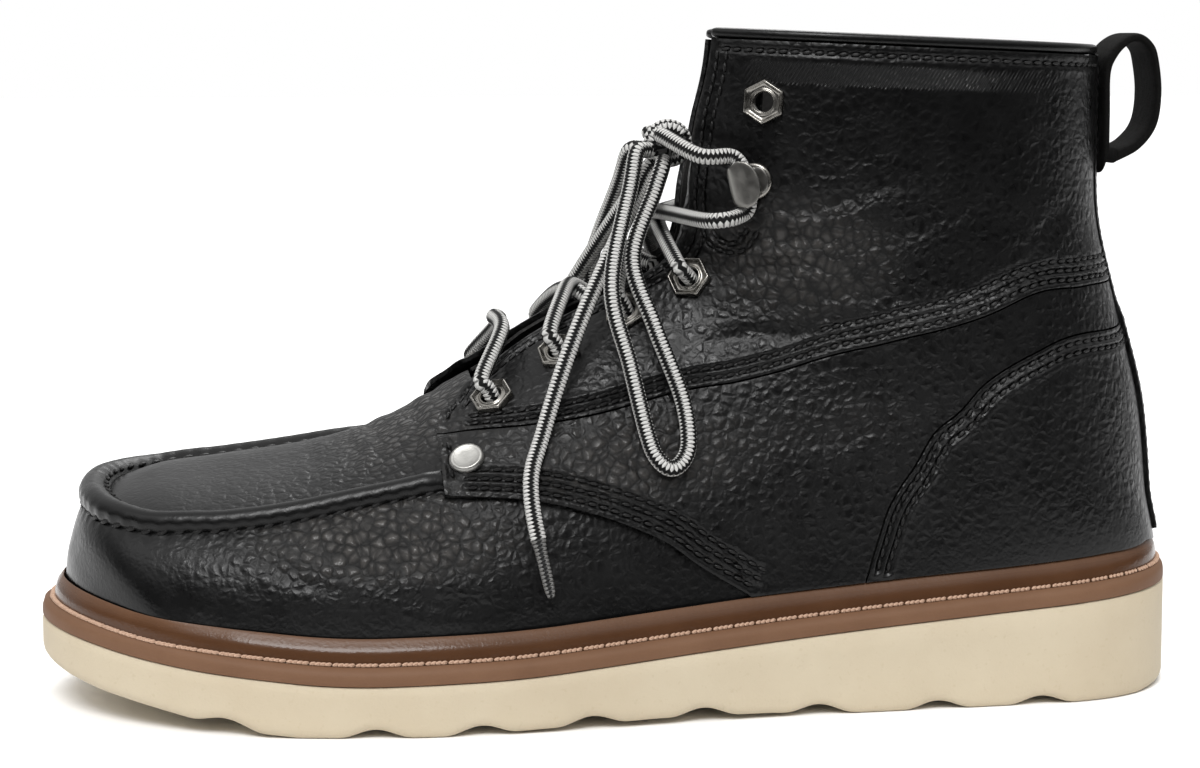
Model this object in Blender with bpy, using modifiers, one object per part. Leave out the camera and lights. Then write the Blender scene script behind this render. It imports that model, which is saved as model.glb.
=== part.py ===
"""Left boot of a moc-toe work pair: a leather upper on a brown storm welt and a cream wedge sole.

Metres, +Z up. The toe points to -X, the outer side of the foot is -Y.
Tables are in millimetres and are read through MM.
"""

import math
from collections import namedtuple

import bmesh
import bpy
import numpy as np
from mathutils import Matrix, Vector
from mathutils.bvhtree import BVHTree

MM = 0.001

# Driving dimensions, in millimetres
SOLE_LENGTH = 304.0
WALL = 2.2
PANEL = 1.3
GAP = 0.3
SEAM_GAP = 0.6
BEAD_HEIGHT = 11.0
WELT_CLEAR = 1.0
WELT_STATIONS, WELT_CROWD = 37, 0.75
SOLE_STATIONS = 70
SOLE_BEVEL = 1.6
END_TRIM = 0.0006
INSOLE, INSOLE_STATIONS = 4.0, 28
INSOLE_INSET, INSOLE_WIDENS = 13.0, 60.0
INSOLE_HEEL_INSET, INSOLE_HEEL = 16.5, 135.0
LUG_DEPTH = 2.2
NOTCH_HALF = 9.5
COLLAR_FROM, COLLAR_FRONT = 24.0, 177.0
COLLAR_TO, COLLAR_BACK = 130.0, 172.4
BINDING, BINDING_FROM = 2.6, 17.4
EVEN_FROM = 95.0
BACKSTAY, BACKSTAY_THICK, SLOT_FROM = 22.0, 1.6, 92.0
PULL_WIDTH = 20.0
MOC_WIDTH, MOC_HEIGHT = 5.4, 2.6
TONGUE = 2.6
TONGUE_SEAT, TONGUE_DEPTH, TONGUE_DROP = 3.1, 6.2, 1.2
TONGUE_FROM, TONGUE_TO, TONGUE_SPREAD = 7.0, 18.6, 0.22
EYELET, EYELET_FLAT, EYELET_HOLE, EYELET_BEVEL = 1.5, 10.2, 5.4, 0.5
HOOK, HOOK_STEM, HOOK_PLATE, HOOK_CORNER = 9.6, 4.2, 1.0, 1.3
SEAT_SEARCH, PIN_LENGTH = 8.0, 14.0
LACE, LACE_STEP, SHORT_STEP = 4.3, 2.9, 1.4
RISE, LEAN, BAR_LIFT = 4.8, 0.9, 9.5
KNOT, KNOT_RADII = (14.5, -5.0, 146.5), (6.5, 8.5, 6.5)
KNOT_CLEAR, KNOT_RUN = 0.8, 5.0
LACE_MEET = (11.0, 0.0, 127.0)
HOOK_WAY = np.array((-0.2, 0.85, 0.15))
DOWN_WAY = np.array((-0.25, 0.8, -0.5))
BACK_WAY = np.array((-0.8, 0.62, -0.2))
FREE_WAY = np.array((-0.54, 0.28, -0.75))

# Reach of the cutters past the boot, in millimetres, and the weld of matching points in metres
LONG, FAR, ABOVE, BELOW = 175.0, 95.0, 230.0, -30.0
TOE_RISE, HEEL_RISE = 4.0, 1.0
SHAFT_AHEAD, THROAT_AHEAD = -20.0, (-40.0, 130.0)
THROAT_SPAN, MOC_SPAN = (-70.0, 50.0), (40.0, 110.0)
WELD = 1e-6

# Plan of the sole from toe to heel: share of the length, middle line and half width
Plan = namedtuple("Plan", "share middle half")
PLAN = (
    Plan(0.00, 5.0, 46.0),
    Plan(0.10, 3.5, 50.0),
    Plan(0.20, -0.2, 55.0),
    Plan(0.30, -3.0, 56.3),
    Plan(0.38, -4.6, 54.4),
    Plan(0.46, -5.9, 50.2),
    Plan(0.56, -6.0, 45.2),
    Plan(0.66, -4.4, 42.6),
    Plan(0.76, -2.5, 42.0),
    Plan(0.88, -0.7, 41.0),
    Plan(1.00, 0.0, 40.5),
)
TOE_ROUND = 0.18
HEEL_ROUND = 0.14
ROUND_POWER = 2.2

# Top of the wedge sole along its length
Rise = namedtuple("Rise", "x z")
SOLE_TOP = (
    Rise(-152.0, 23.0),
    Rise(-120.0, 17.0),
    Rise(-75.0, 12.8),
    Rise(-30.0, 14.0),
    Rise(20.0, 18.6),
    Rise(75.0, 23.2),
    Rise(120.0, 26.6),
    Rise(152.0, 28.6),
)

# Bottom of the sole along its length, and the middles of the notches between its lugs
BOTTOM = (
    Rise(-152.0, 13.2),
    Rise(-144.0, 10.6),
    Rise(-136.0, 8.5),
    Rise(-128.0, 6.9),
    Rise(-121.0, 5.5),
    Rise(-113.0, 3.9),
    Rise(-104.0, 2.2),
    Rise(-95.0, 0.9),
    Rise(-86.0, 0.0),
    Rise(-50.0, 0.0),
    Rise(-25.0, 0.9),
    Rise(5.0, 1.7),
    Rise(35.0, 1.2),
    Rise(60.0, 0.0),
    Rise(138.0, 0.0),
    Rise(152.0, 1.6),
)
NOTCHES = (-104.0, -67.0, -40.5, -12.0, 17.5, 48.5, 80.5, 109.0)

# Section of the welt: share of the way to the upper, and height over the sole
WELT_PROFILE = (
    (0.0, GAP),
    (0.0, 3.6),
    (0.12, 4.7),
    (0.62, 4.6),
    (0.86, BEAD_HEIGHT - 0.5),
    (1.0, BEAD_HEIGHT),
    (1.0, GAP),
)

# Seams of the outer side as they show from the side
Seam = namedtuple("Seam", "x z")
EYESTAY_FRONT = (
    Seam(-34.0, 96.0),
    Seam(-38.6, 83.2),
    Seam(-42.2, 79.5),
    Seam(-46.4, 75.8),
    Seam(-48.2, 71.8),
)
QUARTER_FRONT = (
    Seam(-48.2, 70.4),
    Seam(-47.6, 66.0),
    Seam(-47.9, 57.9),
    Seam(-26.6, 56.9),
    Seam(-9.0, 52.8),
    Seam(6.8, 46.4),
    Seam(17.0, 39.3),
    Seam(30.0, 31.4),
)
SHAFT_SEAM = (
    Seam(-48.3, 71.0),
    Seam(-25.5, 74.5),
    Seam(-7.6, 77.4),
    Seam(24.2, 84.5),
    Seam(60.8, 94.1),
    Seam(100.0, 105.1),
    Seam(121.4, 108.8),
    Seam(150.0, 112.0),
)
COUNTER_SEAM = (
    Seam(61.3, 33.4),
    Seam(64.2, 42.5),
    Seam(68.2, 53.6),
    Seam(74.1, 62.5),
    Seam(81.8, 73.8),
    Seam(92.4, 84.1),
    Seam(106.0, 92.0),
    Seam(121.2, 96.6),
    Seam(150.0, 102.5),
)

# Half width of the throat over height, seen from the front
Throat = namedtuple("Throat", "half z")
THROAT = (
    Throat(0.8, 84.2),
    Throat(6.5, 85.5),
    Throat(8.3, 90.0),
    Throat(8.8, 103.0),
    Throat(10.2, 112.0),
    Throat(14.2, 120.0),
    Throat(14.8, 135.0),
    Throat(17.8, 150.0),
    Throat(19.4, 163.0),
    Throat(20.4, 190.0),
)

# Crest of the raised toe seam on the outer side, in plan
Crest = namedtuple("Crest", "x y")
MOC_SEAM = (
    Crest(-138.2, 5.0),
    Crest(-137.2, -5.0),
    Crest(-132.5, -17.5),
    Crest(-122.4, -27.0),
    Crest(-110.0, -31.0),
    Crest(-97.0, -33.4),
    Crest(-72.0, -35.2),
    Crest(-50.0, -37.0),
)

# Pull loop from the side: outer and inner line of the strap
Strap = namedtuple("Strap", "out_x out_z in_x in_z")
PULL_LOOP = (
    Strap(132.2, 138.0, 134.4, 146.0),
    Strap(132.2, 153.0, 134.4, 155.0),
    Strap(132.2, 166.5, 134.4, 164.5),
    Strap(134.2, 171.2, 136.2, 169.2),
    Strap(138.0, 174.6, 139.0, 172.2),
    Strap(142.0, 175.6, 141.8, 173.0),
    Strap(145.4, 173.6, 144.0, 171.4),
    Strap(147.4, 169.6, 145.2, 168.6),
    Strap(148.6, 160.0, 146.3, 160.0),
    Strap(147.4, 150.7, 145.2, 151.8),
    Strap(142.8, 144.4, 141.4, 147.0),
    Strap(135.8, 140.6, 136.6, 144.6),
)

# Fittings and hanging cords of the outer side, from the side
EYELETS = (
    Seam(-33.7, 80.2),
    Seam(-15.9, 91.5),
    Seam(2.0, 101.8),
    Seam(18.9, 111.0),
    Seam(36.4, 157.8),
)
HOOK_AT = Seam(34.4, 137.6)
RIVET_AT = Seam(-41.7, 66.0)
RIVET_PROFILE = ((0.0, 1.7), (2.0, 1.55), (3.4, 1.1), (4.2, 0.5), (4.2, 0.0), (0.0, 0.0))
Hang = namedtuple("Hang", "x z lift")
LOOP = (
    Hang(8.5, 108.0, 13.0),
    Hang(8.8, 95.6, 8.0),
    Hang(13.6, 81.0, 3.0),
    Hang(14.2, 68.6, 3.0),
    Hang(10.2, 63.6, 3.0),
    Hang(4.4, 70.0, 3.0),
    Hang(1.0, 86.0, 7.0),
    Hang(1.0, 100.0, 15.0),
)
FREE_END = (
    Hang(-9.2, 92.8, 10.6),
    Hang(-22.3, 71.4, 3.0),
    Hang(-26.8, 57.5, 3.0),
    Hang(-23.4, 33.5, 5.0),
)
Place = namedtuple("Place", "x y z")

# Lace over the throat: part of the way to the other eyelet and lift, then its turn round a hook
Cross = namedtuple("Cross", "part lift")
CROSSING = (Cross(0.3, 6.5), Cross(0.5, 4.6), Cross(0.6, 1.6))
Turn = namedtuple("Turn", "lift toward upward")
ROUND_HOOK = (
    Turn(6.0, 10.5, -7.4),
    Turn(0.0, 3.4, -7.4),
    Turn(0.0, 1.0, -2.6),
    Turn(0.0, 1.0, 2.6),
    Turn(0.0, 3.4, 7.4),
    Turn(3.5, 10.5, 9.5),
)

# Sections of the last, fanned from the toe, over the instep and up the leg.
# Each runs in its own plane from a top point to a base point.
Section = namedtuple(
    "Section",
    "name top_x top_z base_x base_z lateral medial top_y base_y widest top_power base_power twist",
)
SECTIONS = (
    Section("toe floor", -145.2, 10.0, -101, 2.0, 43.5, 44.5, 6.0, 1.0, 0.02, 2.05, 6.0, 0.00),
    Section("toe wall", -145.8, 27.0, -101, 1.5, 44.0, 45.0, 6.0, 1.0, 0.05, 2.05, 6.0, 0.00),
    Section("toe nose", -144.6, 41.0, -101, 1.0, 44.5, 45.5, 6.0, 1.0, 0.12, 2.10, 6.0, 0.03),
    Section("toe brow", -138.5, 54.5, -101, 1.0, 45.0, 46.0, 5.0, 1.0, 0.22, 2.40, 6.0, 0.07),
    Section("toe top", -124.0, 60.0, -101, 1.0, 45.5, 46.5, 4.0, 1.0, 0.32, 2.75, 6.0, 0.12),
    Section("toe box", -104.0, 62.0, -100, 2.0, 47.0, 47.0, 2.5, 0.0, 0.365, 2.95, 6.0, 0.14),
    Section("vamp", -80.0, 66.0, -74, 5.0, 50.0, 48.5, 1.0, -1.5, 0.34, 2.75, 6.0, 0.14),
    Section("ball", -58.0, 74.0, -46, 5.0, 50.5, 47.0, 0.5, -3.0, 0.33, 2.45, 6.0, 0.13),
    Section("instep", -38.0, 86.0, -18, 6.0, 47.5, 42.5, 0.5, -4.0, 0.31, 2.25, 6.0, 0.11),
    Section("waist", -19.0, 98.5, 12, 9.0, 42.5, 37.0, 0.5, -4.5, 0.30, 2.15, 6.0, 0.09),
    Section("throat", -2.0, 108.5, 46, 12.0, 38.5, 34.0, 0.5, -3.5, 0.30, 2.10, 5.5, 0.06),
    Section("bend", 8.5, 116.0, 84, 14.0, 36.8, 34.5, 0.0, -2.0, 0.32, 2.10, 5.0, 0.03),
    Section("heel seat", 13.0, 123.0, 121, 16.0, 36.5, 35.5, 0.0, -1.0, 0.36, 2.10, 3.6, 0.0),
    Section("heel corner", 14.0, 129.5, 147, 27.0, 36.5, 36.0, 0.0, 0.0, 0.42, 2.10, 2.5, 0.0),
    Section("heel back", 14.2, 135.5, 145.2, 52.0, 36.5, 36.0, 0.0, 0.0, 0.45, 2.10, 2.35, 0.0),
    Section("heel swell", 14.2, 142.0, 142.6, 77.0, 36.0, 35.5, 0.0, 0.0, 0.47, 2.15, 2.30, 0.0),
    Section("ankle", 14.2, 149.0, 136.0, 102.0, 35.5, 35.0, 0.0, 0.0, 0.48, 2.20, 2.30, 0.0),
    Section("shaft low", 14.4, 157.0, 130.2, 126.0, 35.0, 34.5, 0.0, 0.0, 0.48, 2.25, 2.30, 0.0),
    Section("shaft", 16.0, 167.0, 129.4, 150.0, 34.6, 34.2, 0.0, 0.0, 0.48, 2.30, 2.30, 0.0),
    Section("collar", 18.0, 184.0, 129.6, 180.0, 34.4, 34.0, 0.0, 0.0, 0.48, 2.30, 2.30, 0.0),
)


# Interpolation
def smooth(rows, column, at):
    """Value of a named column at fractional row numbers, on a Catmull-Rom curve."""
    values = np.array([getattr(row, column) for row in rows])
    padded = np.concatenate([[2 * values[0] - values[1]], values, [2 * values[-1] - values[-2]]])
    at = np.clip(np.asarray(at, float), 0, len(rows) - 1)
    low = np.minimum(at.astype(int), len(rows) - 2)
    t = at - low
    a, b, c, d = (padded[low + step] for step in range(4))
    return 0.5 * (
        2 * b + (c - a) * t + (2 * a - 5 * b + 4 * c - d) * t**2 + (3 * b - a - 3 * c + d) * t**3
    )


def along(rows, key, column, at):
    """Value of a column where another column, which rises down the table, has the value at."""
    keys = [getattr(row, key) for row in rows]
    return smooth(rows, column, np.interp(at, keys, range(len(rows))))


# The last
ARC_SAMPLES = 160


def section_at(station):
    return {name: float(smooth(SECTIONS, name, station)) for name in Section._fields[1:]}


def half_section(row, side, shares):
    """Points of one half of a section, from its top (share 0) to its base (share 1)."""
    angle = np.linspace(0, math.pi, ARC_SAMPLES)
    upper = np.cos(angle) >= 0
    power = np.where(upper, row["top_power"], row["base_power"])
    reach = np.where(upper, 1 - row["widest"], -row["widest"])
    height = row["widest"] + reach * np.abs(np.cos(angle)) ** (2 / power)
    half = row["lateral"] if side < 0 else row["medial"]
    y = row["base_y"] + (row["top_y"] - row["base_y"]) * height
    y = y + side * half * np.abs(np.sin(angle)) ** (2 / power)
    x = row["base_x"] + (row["top_x"] - row["base_x"]) * height
    z = row["base_z"] + (row["top_z"] - row["base_z"]) * height
    z = z + row["twist"] * (y - row["base_y"]) * np.clip(height, 0, 1)
    points = np.stack([x, y, z], 1)
    run = np.concatenate([[0], np.cumsum(np.linalg.norm(np.diff(points, axis=0), axis=1))])
    return np.stack([np.interp(np.asarray(shares) * run[-1], run, axis) for axis in points.T], 1)


def last_grid(stations, shares):
    """Grid of points on the last: a closed ring for each station."""
    rings = []
    for station in stations:
        row = section_at(station)
        lateral = half_section(row, -1, shares)
        medial = half_section(row, 1, shares)
        rings.append(np.concatenate([lateral, medial[-2:0:-1]]))
    return np.array(rings)


def offset_grid(grid, distance):
    """The same grid moved outwards along its normals."""
    across = np.roll(grid, -1, axis=1) - np.roll(grid, 1, axis=1)
    onward = np.gradient(grid, axis=0)
    normal = np.cross(across, onward)
    length = np.linalg.norm(normal, axis=2, keepdims=True)
    return grid + distance * normal / np.maximum(length, 1e-9)


FINE_STATIONS = np.linspace(0, len(SECTIONS) - 1, 260)
FINE_SHARES = np.linspace(0, 1, 180)
OUTER_SIDE = last_grid(FINE_STATIONS, FINE_SHARES)[:, : len(FINE_SHARES)]


def find(first, second, axes="xz"):
    """Station and share of the place on the outer side that shows here in a side or plan view."""
    one, two = ("xyz".index(axis) for axis in axes)
    miss = (OUTER_SIDE[..., one] - first) ** 2 + (OUTER_SIDE[..., two] - second) ** 2
    if axes == "xy":
        miss = miss + np.where(FINE_SHARES > 0.5, 1e6, 0)[None, :]
    row, column = np.unravel_index(miss.argmin(), miss.shape)
    return FINE_STATIONS[row], FINE_SHARES[column]


def spot(station, share, side, distance=0.0):
    """A point at a distance off the last, and the outward normal there."""
    shares = np.array((share - 0.01, share, share + 0.01))
    before, here, after = (
        half_section(section_at(at), side, shares) for at in (station - 0.1, station, station + 0.1)
    )
    normal = np.cross(here[2] - here[0], after[1] - before[1]) * -side
    normal /= np.linalg.norm(normal)
    return here[1] + distance * normal, normal


def sole_top(x):
    return np.interp(x, [row.x for row in SOLE_TOP], [row.z for row in SOLE_TOP])


def tread(x):
    """Height of the bottom: toe spring, arch and the wave of lugs."""
    base = np.interp(x, [row.x for row in BOTTOM], [row.z for row in BOTTOM])
    for notch in NOTCHES:
        inside = np.abs(x - notch) < NOTCH_HALF
        base = base + np.where(inside, LUG_DEPTH * np.cos((x - notch) / NOTCH_HALF * math.pi / 2) ** 2, 0)
    return base


def cap(run, power=ROUND_POWER):
    """Rises from 0 to 1 as the quarter of a rounded end."""
    return (1 - (1 - np.clip(run, 0, 1)) ** power) ** (1 / power)


def sole_outline(count, inset=0.0, crowd=0.35):
    """Plan of the sole moved inwards: from toe to heel on the outer side, then back."""
    even = np.linspace(0, 1, count)
    crowded = 0.5 - 0.5 * np.cos(math.pi * even)
    share = END_TRIM + (1 - 2 * END_TRIM) * ((1 - crowd) * even + crowd * crowded)
    ends = cap(share / TOE_ROUND) * cap((1 - share) / HEEL_ROUND)
    half = along(PLAN, "share", "half", share) * ends
    middle = along(PLAN, "share", "middle", share)
    x = SOLE_LENGTH * (share - 0.5)
    ring = np.concatenate([np.stack([x, middle - half], 1), np.stack([x, middle + half], 1)[::-1]])
    tangent = np.roll(ring, -1, axis=0) - np.roll(ring, 1, axis=0)
    inward = np.stack([-tangent[:, 1], tangent[:, 0]], 1)
    inward /= np.linalg.norm(inward, axis=1, keepdims=True)
    if callable(inset):
        inset = inset(ring[:, :1])
    return ring + inset * inward


SHIFT = np.array([0.0, -(sole_outline(200)[:, 1].max() + sole_outline(200)[:, 1].min()) / 2, 0.0])


def at(point):
    """A point of the tables in metres, with the boot's box centred on the origin."""
    return Vector((np.asarray(point, float) + SHIFT) * MM)


# Scene and objects
for old in list(bpy.data.objects):
    bpy.data.objects.remove(old, do_unlink=True)

PARTS = bpy.data.collections.new("outdoor_boot")
CUTTERS = bpy.data.collections.new("cutters")
for collection in (PARTS, CUTTERS):
    bpy.context.scene.collection.children.link(collection)

Finish = namedtuple("Finish", "red green blue roughness metallic")
FINISHES = {
    "leather": Finish(0.013, 0.013, 0.014, 0.45, 0.0),
    "lining": Finish(0.05, 0.05, 0.05, 0.8, 0.0),
    "welt": Finish(0.15, 0.07, 0.03, 0.5, 0.0),
    "sole": Finish(0.72, 0.62, 0.44, 0.75, 0.0),
    "nickel": Finish(0.55, 0.52, 0.48, 0.28, 1.0),
    "lace": Finish(0.02, 0.02, 0.02, 0.9, 0.0),
}


def finish(name):
    material = bpy.data.materials.get(name)
    if material is None:
        look = FINISHES[name]
        material = bpy.data.materials.new(name)
        material.use_nodes = True
        shader = material.node_tree.nodes["Principled BSDF"]
        shader.inputs["Base Color"].default_value = (look.red, look.green, look.blue, 1)
        shader.inputs["Roughness"].default_value = look.roughness
        shader.inputs["Metallic"].default_value = look.metallic
    return material


def add(name, data, look=None):
    """A new object: a part when it has a finish, and a cutter when it has none."""
    thing = bpy.data.objects.new(name, data)
    if look:
        PARTS.objects.link(thing)
        if not data.materials:
            data.materials.append(finish(look))
    else:
        CUTTERS.objects.link(thing)
        thing.hide_render = True
        thing.display_type = "WIRE"
    return thing


def loft(name, grid, kept=None, round_ring=True, closed=False):
    """Mesh over a grid of points, ring after ring, with end caps where it is closed."""
    mesh = bmesh.new()
    rings = [[mesh.verts.new(at(point)) for point in ring] for ring in grid]
    size = len(rings[0])
    for k, (ring, onward) in enumerate(zip(rings, rings[1:])):
        for j in range(size if round_ring else size - 1):
            next_j = (j + 1) % size
            if kept is None or kept[k : k + 2, [j, next_j]].any():
                mesh.faces.new((ring[j], ring[next_j], onward[j]))
                mesh.faces.new((ring[next_j], onward[next_j], onward[j]))
    if closed:
        mesh.faces.new(rings[0][::-1])
        mesh.faces.new(rings[-1])
        bmesh.ops.recalc_face_normals(mesh, faces=mesh.faces)
    bmesh.ops.delete(mesh, geom=[v for v in mesh.verts if not v.link_faces], context="VERTS")
    data = bpy.data.meshes.new(name)
    mesh.to_mesh(data)
    mesh.free()
    return data


def weld(data):
    """Close the seams of a mesh whose first and last rings lie on each other."""
    mesh = bmesh.new()
    mesh.from_mesh(data)
    bmesh.ops.remove_doubles(mesh, verts=mesh.verts, dist=WELD)
    bmesh.ops.recalc_face_normals(mesh, faces=mesh.faces)
    mesh.to_mesh(data)
    mesh.free()
    return data


def prism(name, outline, axis, low, high):
    """Cutter with a flat outline, drawn in the other two axes and pulled along the given one."""
    mesh = bmesh.new()
    corners = []
    for first, second in outline:
        point = {"x": (low, first, second), "y": (first, low, second), "z": (first, second, low)}[axis]
        corners.append(mesh.verts.new(at(point)))
    face = mesh.faces.new(corners)
    grown = bmesh.ops.extrude_face_region(mesh, geom=[face])
    move = {"x": (high - low, 0, 0), "y": (0, high - low, 0), "z": (0, 0, high - low)}[axis]
    moved = [item for item in grown["geom"] if isinstance(item, bmesh.types.BMVert)]
    bmesh.ops.translate(mesh, vec=Vector(move) * MM, verts=moved)
    bmesh.ops.recalc_face_normals(mesh, faces=mesh.faces)
    data = bpy.data.meshes.new(name)
    mesh.to_mesh(data)
    mesh.free()
    return add(name, data)


def cut(piece, cutter, operation="DIFFERENCE"):
    modifier = piece.modifiers.new(f"{operation.lower()} {cutter.name}", "BOOLEAN")
    modifier.operation = operation
    modifier.use_self = True
    modifier.object = cutter


# Shells that follow the last
TOE_STATIONS = (0.0, 0.8, 1.5, 2.2, 2.9, 3.6, 4.3)
SHELL_STATIONS = TOE_STATIONS + tuple(range(5, len(SECTIONS)))
SHELL_SHARES = np.linspace(0, 1, 11)
SHELL_GRID = last_grid(SHELL_STATIONS, SHELL_SHARES)
TRIM_BELOW, SKIRT = 1.0, 5.0


def trimmed(grid):
    """The grid with a straight skirt in place of what lies under the top of the sole."""
    over = grid[..., 2] - sole_top(grid[..., 0]) + TRIM_BELOW
    kept = over > 0
    drawn = grid.copy()
    rings, size = kept.shape
    steps = ((0, -1), (0, 1), (-1, 0), (1, 0), (-1, -1), (-1, 1), (1, -1), (1, 1))
    for k, j in zip(*np.nonzero(~kept)):
        near = [(k + a, (j + b) % size) for a, b in steps if 0 <= k + a < rings]
        near = [place for place in near if kept[place]]
        if near:
            part = over[near[0]] / (over[near[0]] - over[k, j])
            drawn[k, j] = grid[near[0]] + (grid[k, j] - grid[near[0]]) * part - (0, 0, SKIRT)
    return drawn, kept


def shell(name, low, high, look, grid=SHELL_GRID):
    """Skin of the last between two distances off it, open underneath and at the top."""
    skin = add(name, loft(name, *trimmed(offset_grid(grid, low))), look)
    solidify = skin.modifiers.new("wall", "SOLIDIFY")
    solidify.thickness = abs(high - low) * MM
    solidify.offset = 1 if high > low else -1
    return skin


def skin_tree(distance):
    """Search tree of the skin at a distance off the last, in the units of the tables."""
    grid = offset_grid(SHELL_GRID, distance)
    rings, size = grid.shape[:2]
    faces = []
    for k, j in np.ndindex(rings - 1, size):
        here, onward, next_j = k * size, (k + 1) * size, (j + 1) % size
        faces.append((here + j, here + next_j, onward + j))
        faces.append((here + next_j, onward + next_j, onward + j))
    return BVHTree.FromPolygons([tuple(point) for point in grid.reshape(-1, 3)], faces)


# Seams and cuts, shared by the pieces
def trace(rows, steps=1):
    """Points on a smooth curve through the rows of a table."""
    places = np.linspace(0, len(rows) - 1, (len(rows) - 1) * steps + 1)
    return np.stack([smooth(rows, column, places) for column in rows[0]._fields], 1)


def on_side(points, side):
    """A seam of the outer side, carried over to the wanted side of the last."""
    def carry(x, z):
        return tuple(spot(*find(x, z), 1)[0][[0, 2]]) if side > 0 and x < EVEN_FROM else (x, z)

    return [carry(x, z) for x, z in points]


def bead_line(first, last, count):
    x = np.linspace(first, last, count)
    return [(a, b) for a, b in zip(x, sole_top(x) + BEAD_HEIGHT + GAP)]


def collar_line(x, drop=0.0):
    return COLLAR_FRONT + (COLLAR_BACK - COLLAR_FRONT) * (x - COLLAR_FROM) / (COLLAR_TO - COLLAR_FROM) - drop


sole_line = [(row.x, row.z + GAP) for row in SOLE_TOP[1:]]
block = [(-LONG, BELOW), (-LONG, SOLE_TOP[0].z + GAP + TOE_RISE)] + sole_line
block += [(LONG, SOLE_TOP[-1].z + GAP + HEEL_RISE), (LONG, BELOW)]
sole_block = prism("cut_sole", block, "y", -FAR, FAR)


def collar_band(low, high):
    """Side view of the band between two lines along the collar."""
    lower = [(x, low(x)) for x in (SHAFT_AHEAD, LONG)]
    return lower + [(x, high(x)) for x in (LONG, SHAFT_AHEAD)]


over_binding = collar_band(lambda x: collar_line(x, BINDING + GAP), lambda x: ABOVE)
above_collar = prism("cut_collar", over_binding, "y", -FAR, FAR)
throat_edge = trace(THROAT)
throat_sides = [(half, z) for half, z in throat_edge] + [(-half, z) for half, z in throat_edge[::-1]]
throat_cut = prism("cut_throat", throat_sides, "x", *THROAT_SPAN)
slot = BACKSTAY / 2 + GAP
back_outline = [(EVEN_FROM, -slot), (LONG, -slot), (LONG, slot), (EVEN_FROM, slot)]
back_slot = prism("cut_back", back_outline, "z", SLOT_FROM, ABOVE)


# Upper
def make_upper():
    upper = shell("upper", 0.0, -WALL, "leather")
    for cutter in (sole_block, above_collar, throat_cut):
        cut(upper, cutter)


def make_binding():
    """Rolled edge that caps the collar, open at the throat."""
    grid = last_grid(np.linspace(BINDING_FROM, len(SECTIONS) - 1, 5), SHELL_SHARES)
    binding = shell("collar_binding", -WALL, GAP + PANEL, "leather", grid)
    band = collar_band(lambda x: collar_line(x, BINDING), collar_line)
    cut(binding, prism("keep_binding", band, "y", -FAR, FAR), "INTERSECT")
    cut(binding, throat_cut)


# Panels on the upper
def make_panel(name, outline, low_y, high_y, thickness=PANEL):
    panel = shell(name, GAP, GAP + thickness, "leather")
    cut(panel, prism(f"keep_{name}", outline, "y", low_y, high_y), "INTERSECT")
    return panel


def make_side_panels(side, word):
    """Quarter and shaft panel of one side."""
    reach = (-FAR, 0.0) if side < 0 else (0.0, FAR)
    seam = trace(SHAFT_SEAM)
    counter = trace(COUNTER_SEAM)
    quarter = on_side(trace(QUARTER_FRONT), side)
    quarter += bead_line(QUARTER_FRONT[-1].x + 1, COUNTER_SEAM[0].x - 1, 4)
    quarter += [(x - SEAM_GAP / 2, z + SEAM_GAP / 2) for x, z in counter]
    quarter += on_side([(x, z - SEAM_GAP / 2) for x, z in seam[::-1]], side)
    panel = make_panel(f"quarter_{word}", quarter, *reach)
    cut(panel, back_slot)
    shaft = on_side([(x, z + SEAM_GAP / 2) for x, z in seam], side)
    shaft += [(LONG, SHAFT_SEAM[-1].z), (LONG, ABOVE), (SHAFT_AHEAD, ABOVE), THROAT_AHEAD]
    shaft += on_side(trace(EYESTAY_FRONT), side)
    panel = make_panel(f"shaft_{word}", shaft, *reach)
    for cutter in (throat_cut, above_collar, back_slot, eyelet_holes):
        cut(panel, cutter)


def make_back():
    """Heel counter, the strip up the back and its pull loop."""
    counter = [(x + SEAM_GAP / 2, z - SEAM_GAP / 2) for x, z in trace(COUNTER_SEAM)]
    counter += [(LONG, COUNTER_SEAM[-1].z)] + bead_line(LONG, COUNTER_SEAM[0].x + 1, 8)
    make_panel("counter", counter, -FAR, FAR)
    strip = shell("backstay", GAP, GAP + BACKSTAY_THICK, "leather")
    low = COUNTER_SEAM[-1].z + SEAM_GAP
    frame = [(EVEN_FROM, low), (LONG, low), (LONG, ABOVE), (EVEN_FROM, ABOVE)]
    cut(strip, prism("keep_backstay", frame, "y", -BACKSTAY / 2, BACKSTAY / 2), "INTERSECT")
    cut(strip, above_collar)
    outer = [(row.out_x, row.out_z) for row in PULL_LOOP]
    inner = [(row.in_x, row.in_z) for row in PULL_LOOP]
    half = PULL_WIDTH / 2
    rings = [
        [(x, y, z) for x, z in line]
        for y, line in ((-half, outer), (half, outer), (half, inner), (-half, inner), (-half, outer))
    ]
    add("pull_loop", weld(loft("pull_loop", np.array(rings))), "leather")


def make_moc_seam():
    """Raised seam round the toe plug: a band in plan, up on the vamp."""
    lateral = trace(MOC_SEAM)
    places = [find(x, y, "xy") for x, y in lateral]
    medial = np.array([spot(station, share, 1)[0][:2] for station, share in places])
    line = np.concatenate([lateral[::-1], medial[1:]])
    tangent = np.gradient(line, axis=0)
    across = np.stack([-tangent[:, 1], tangent[:, 0]], 1)
    across *= MOC_WIDTH / 2 / np.linalg.norm(across, axis=1, keepdims=True)
    band = np.concatenate([line + across, (line - across)[::-1]])
    ridge = shell("moc_seam", GAP, GAP + MOC_HEIGHT, "leather")
    cut(ridge, prism("keep_moc_seam", [tuple(point) for point in band], "z", *MOC_SPAN), "INTERSECT")


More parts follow.
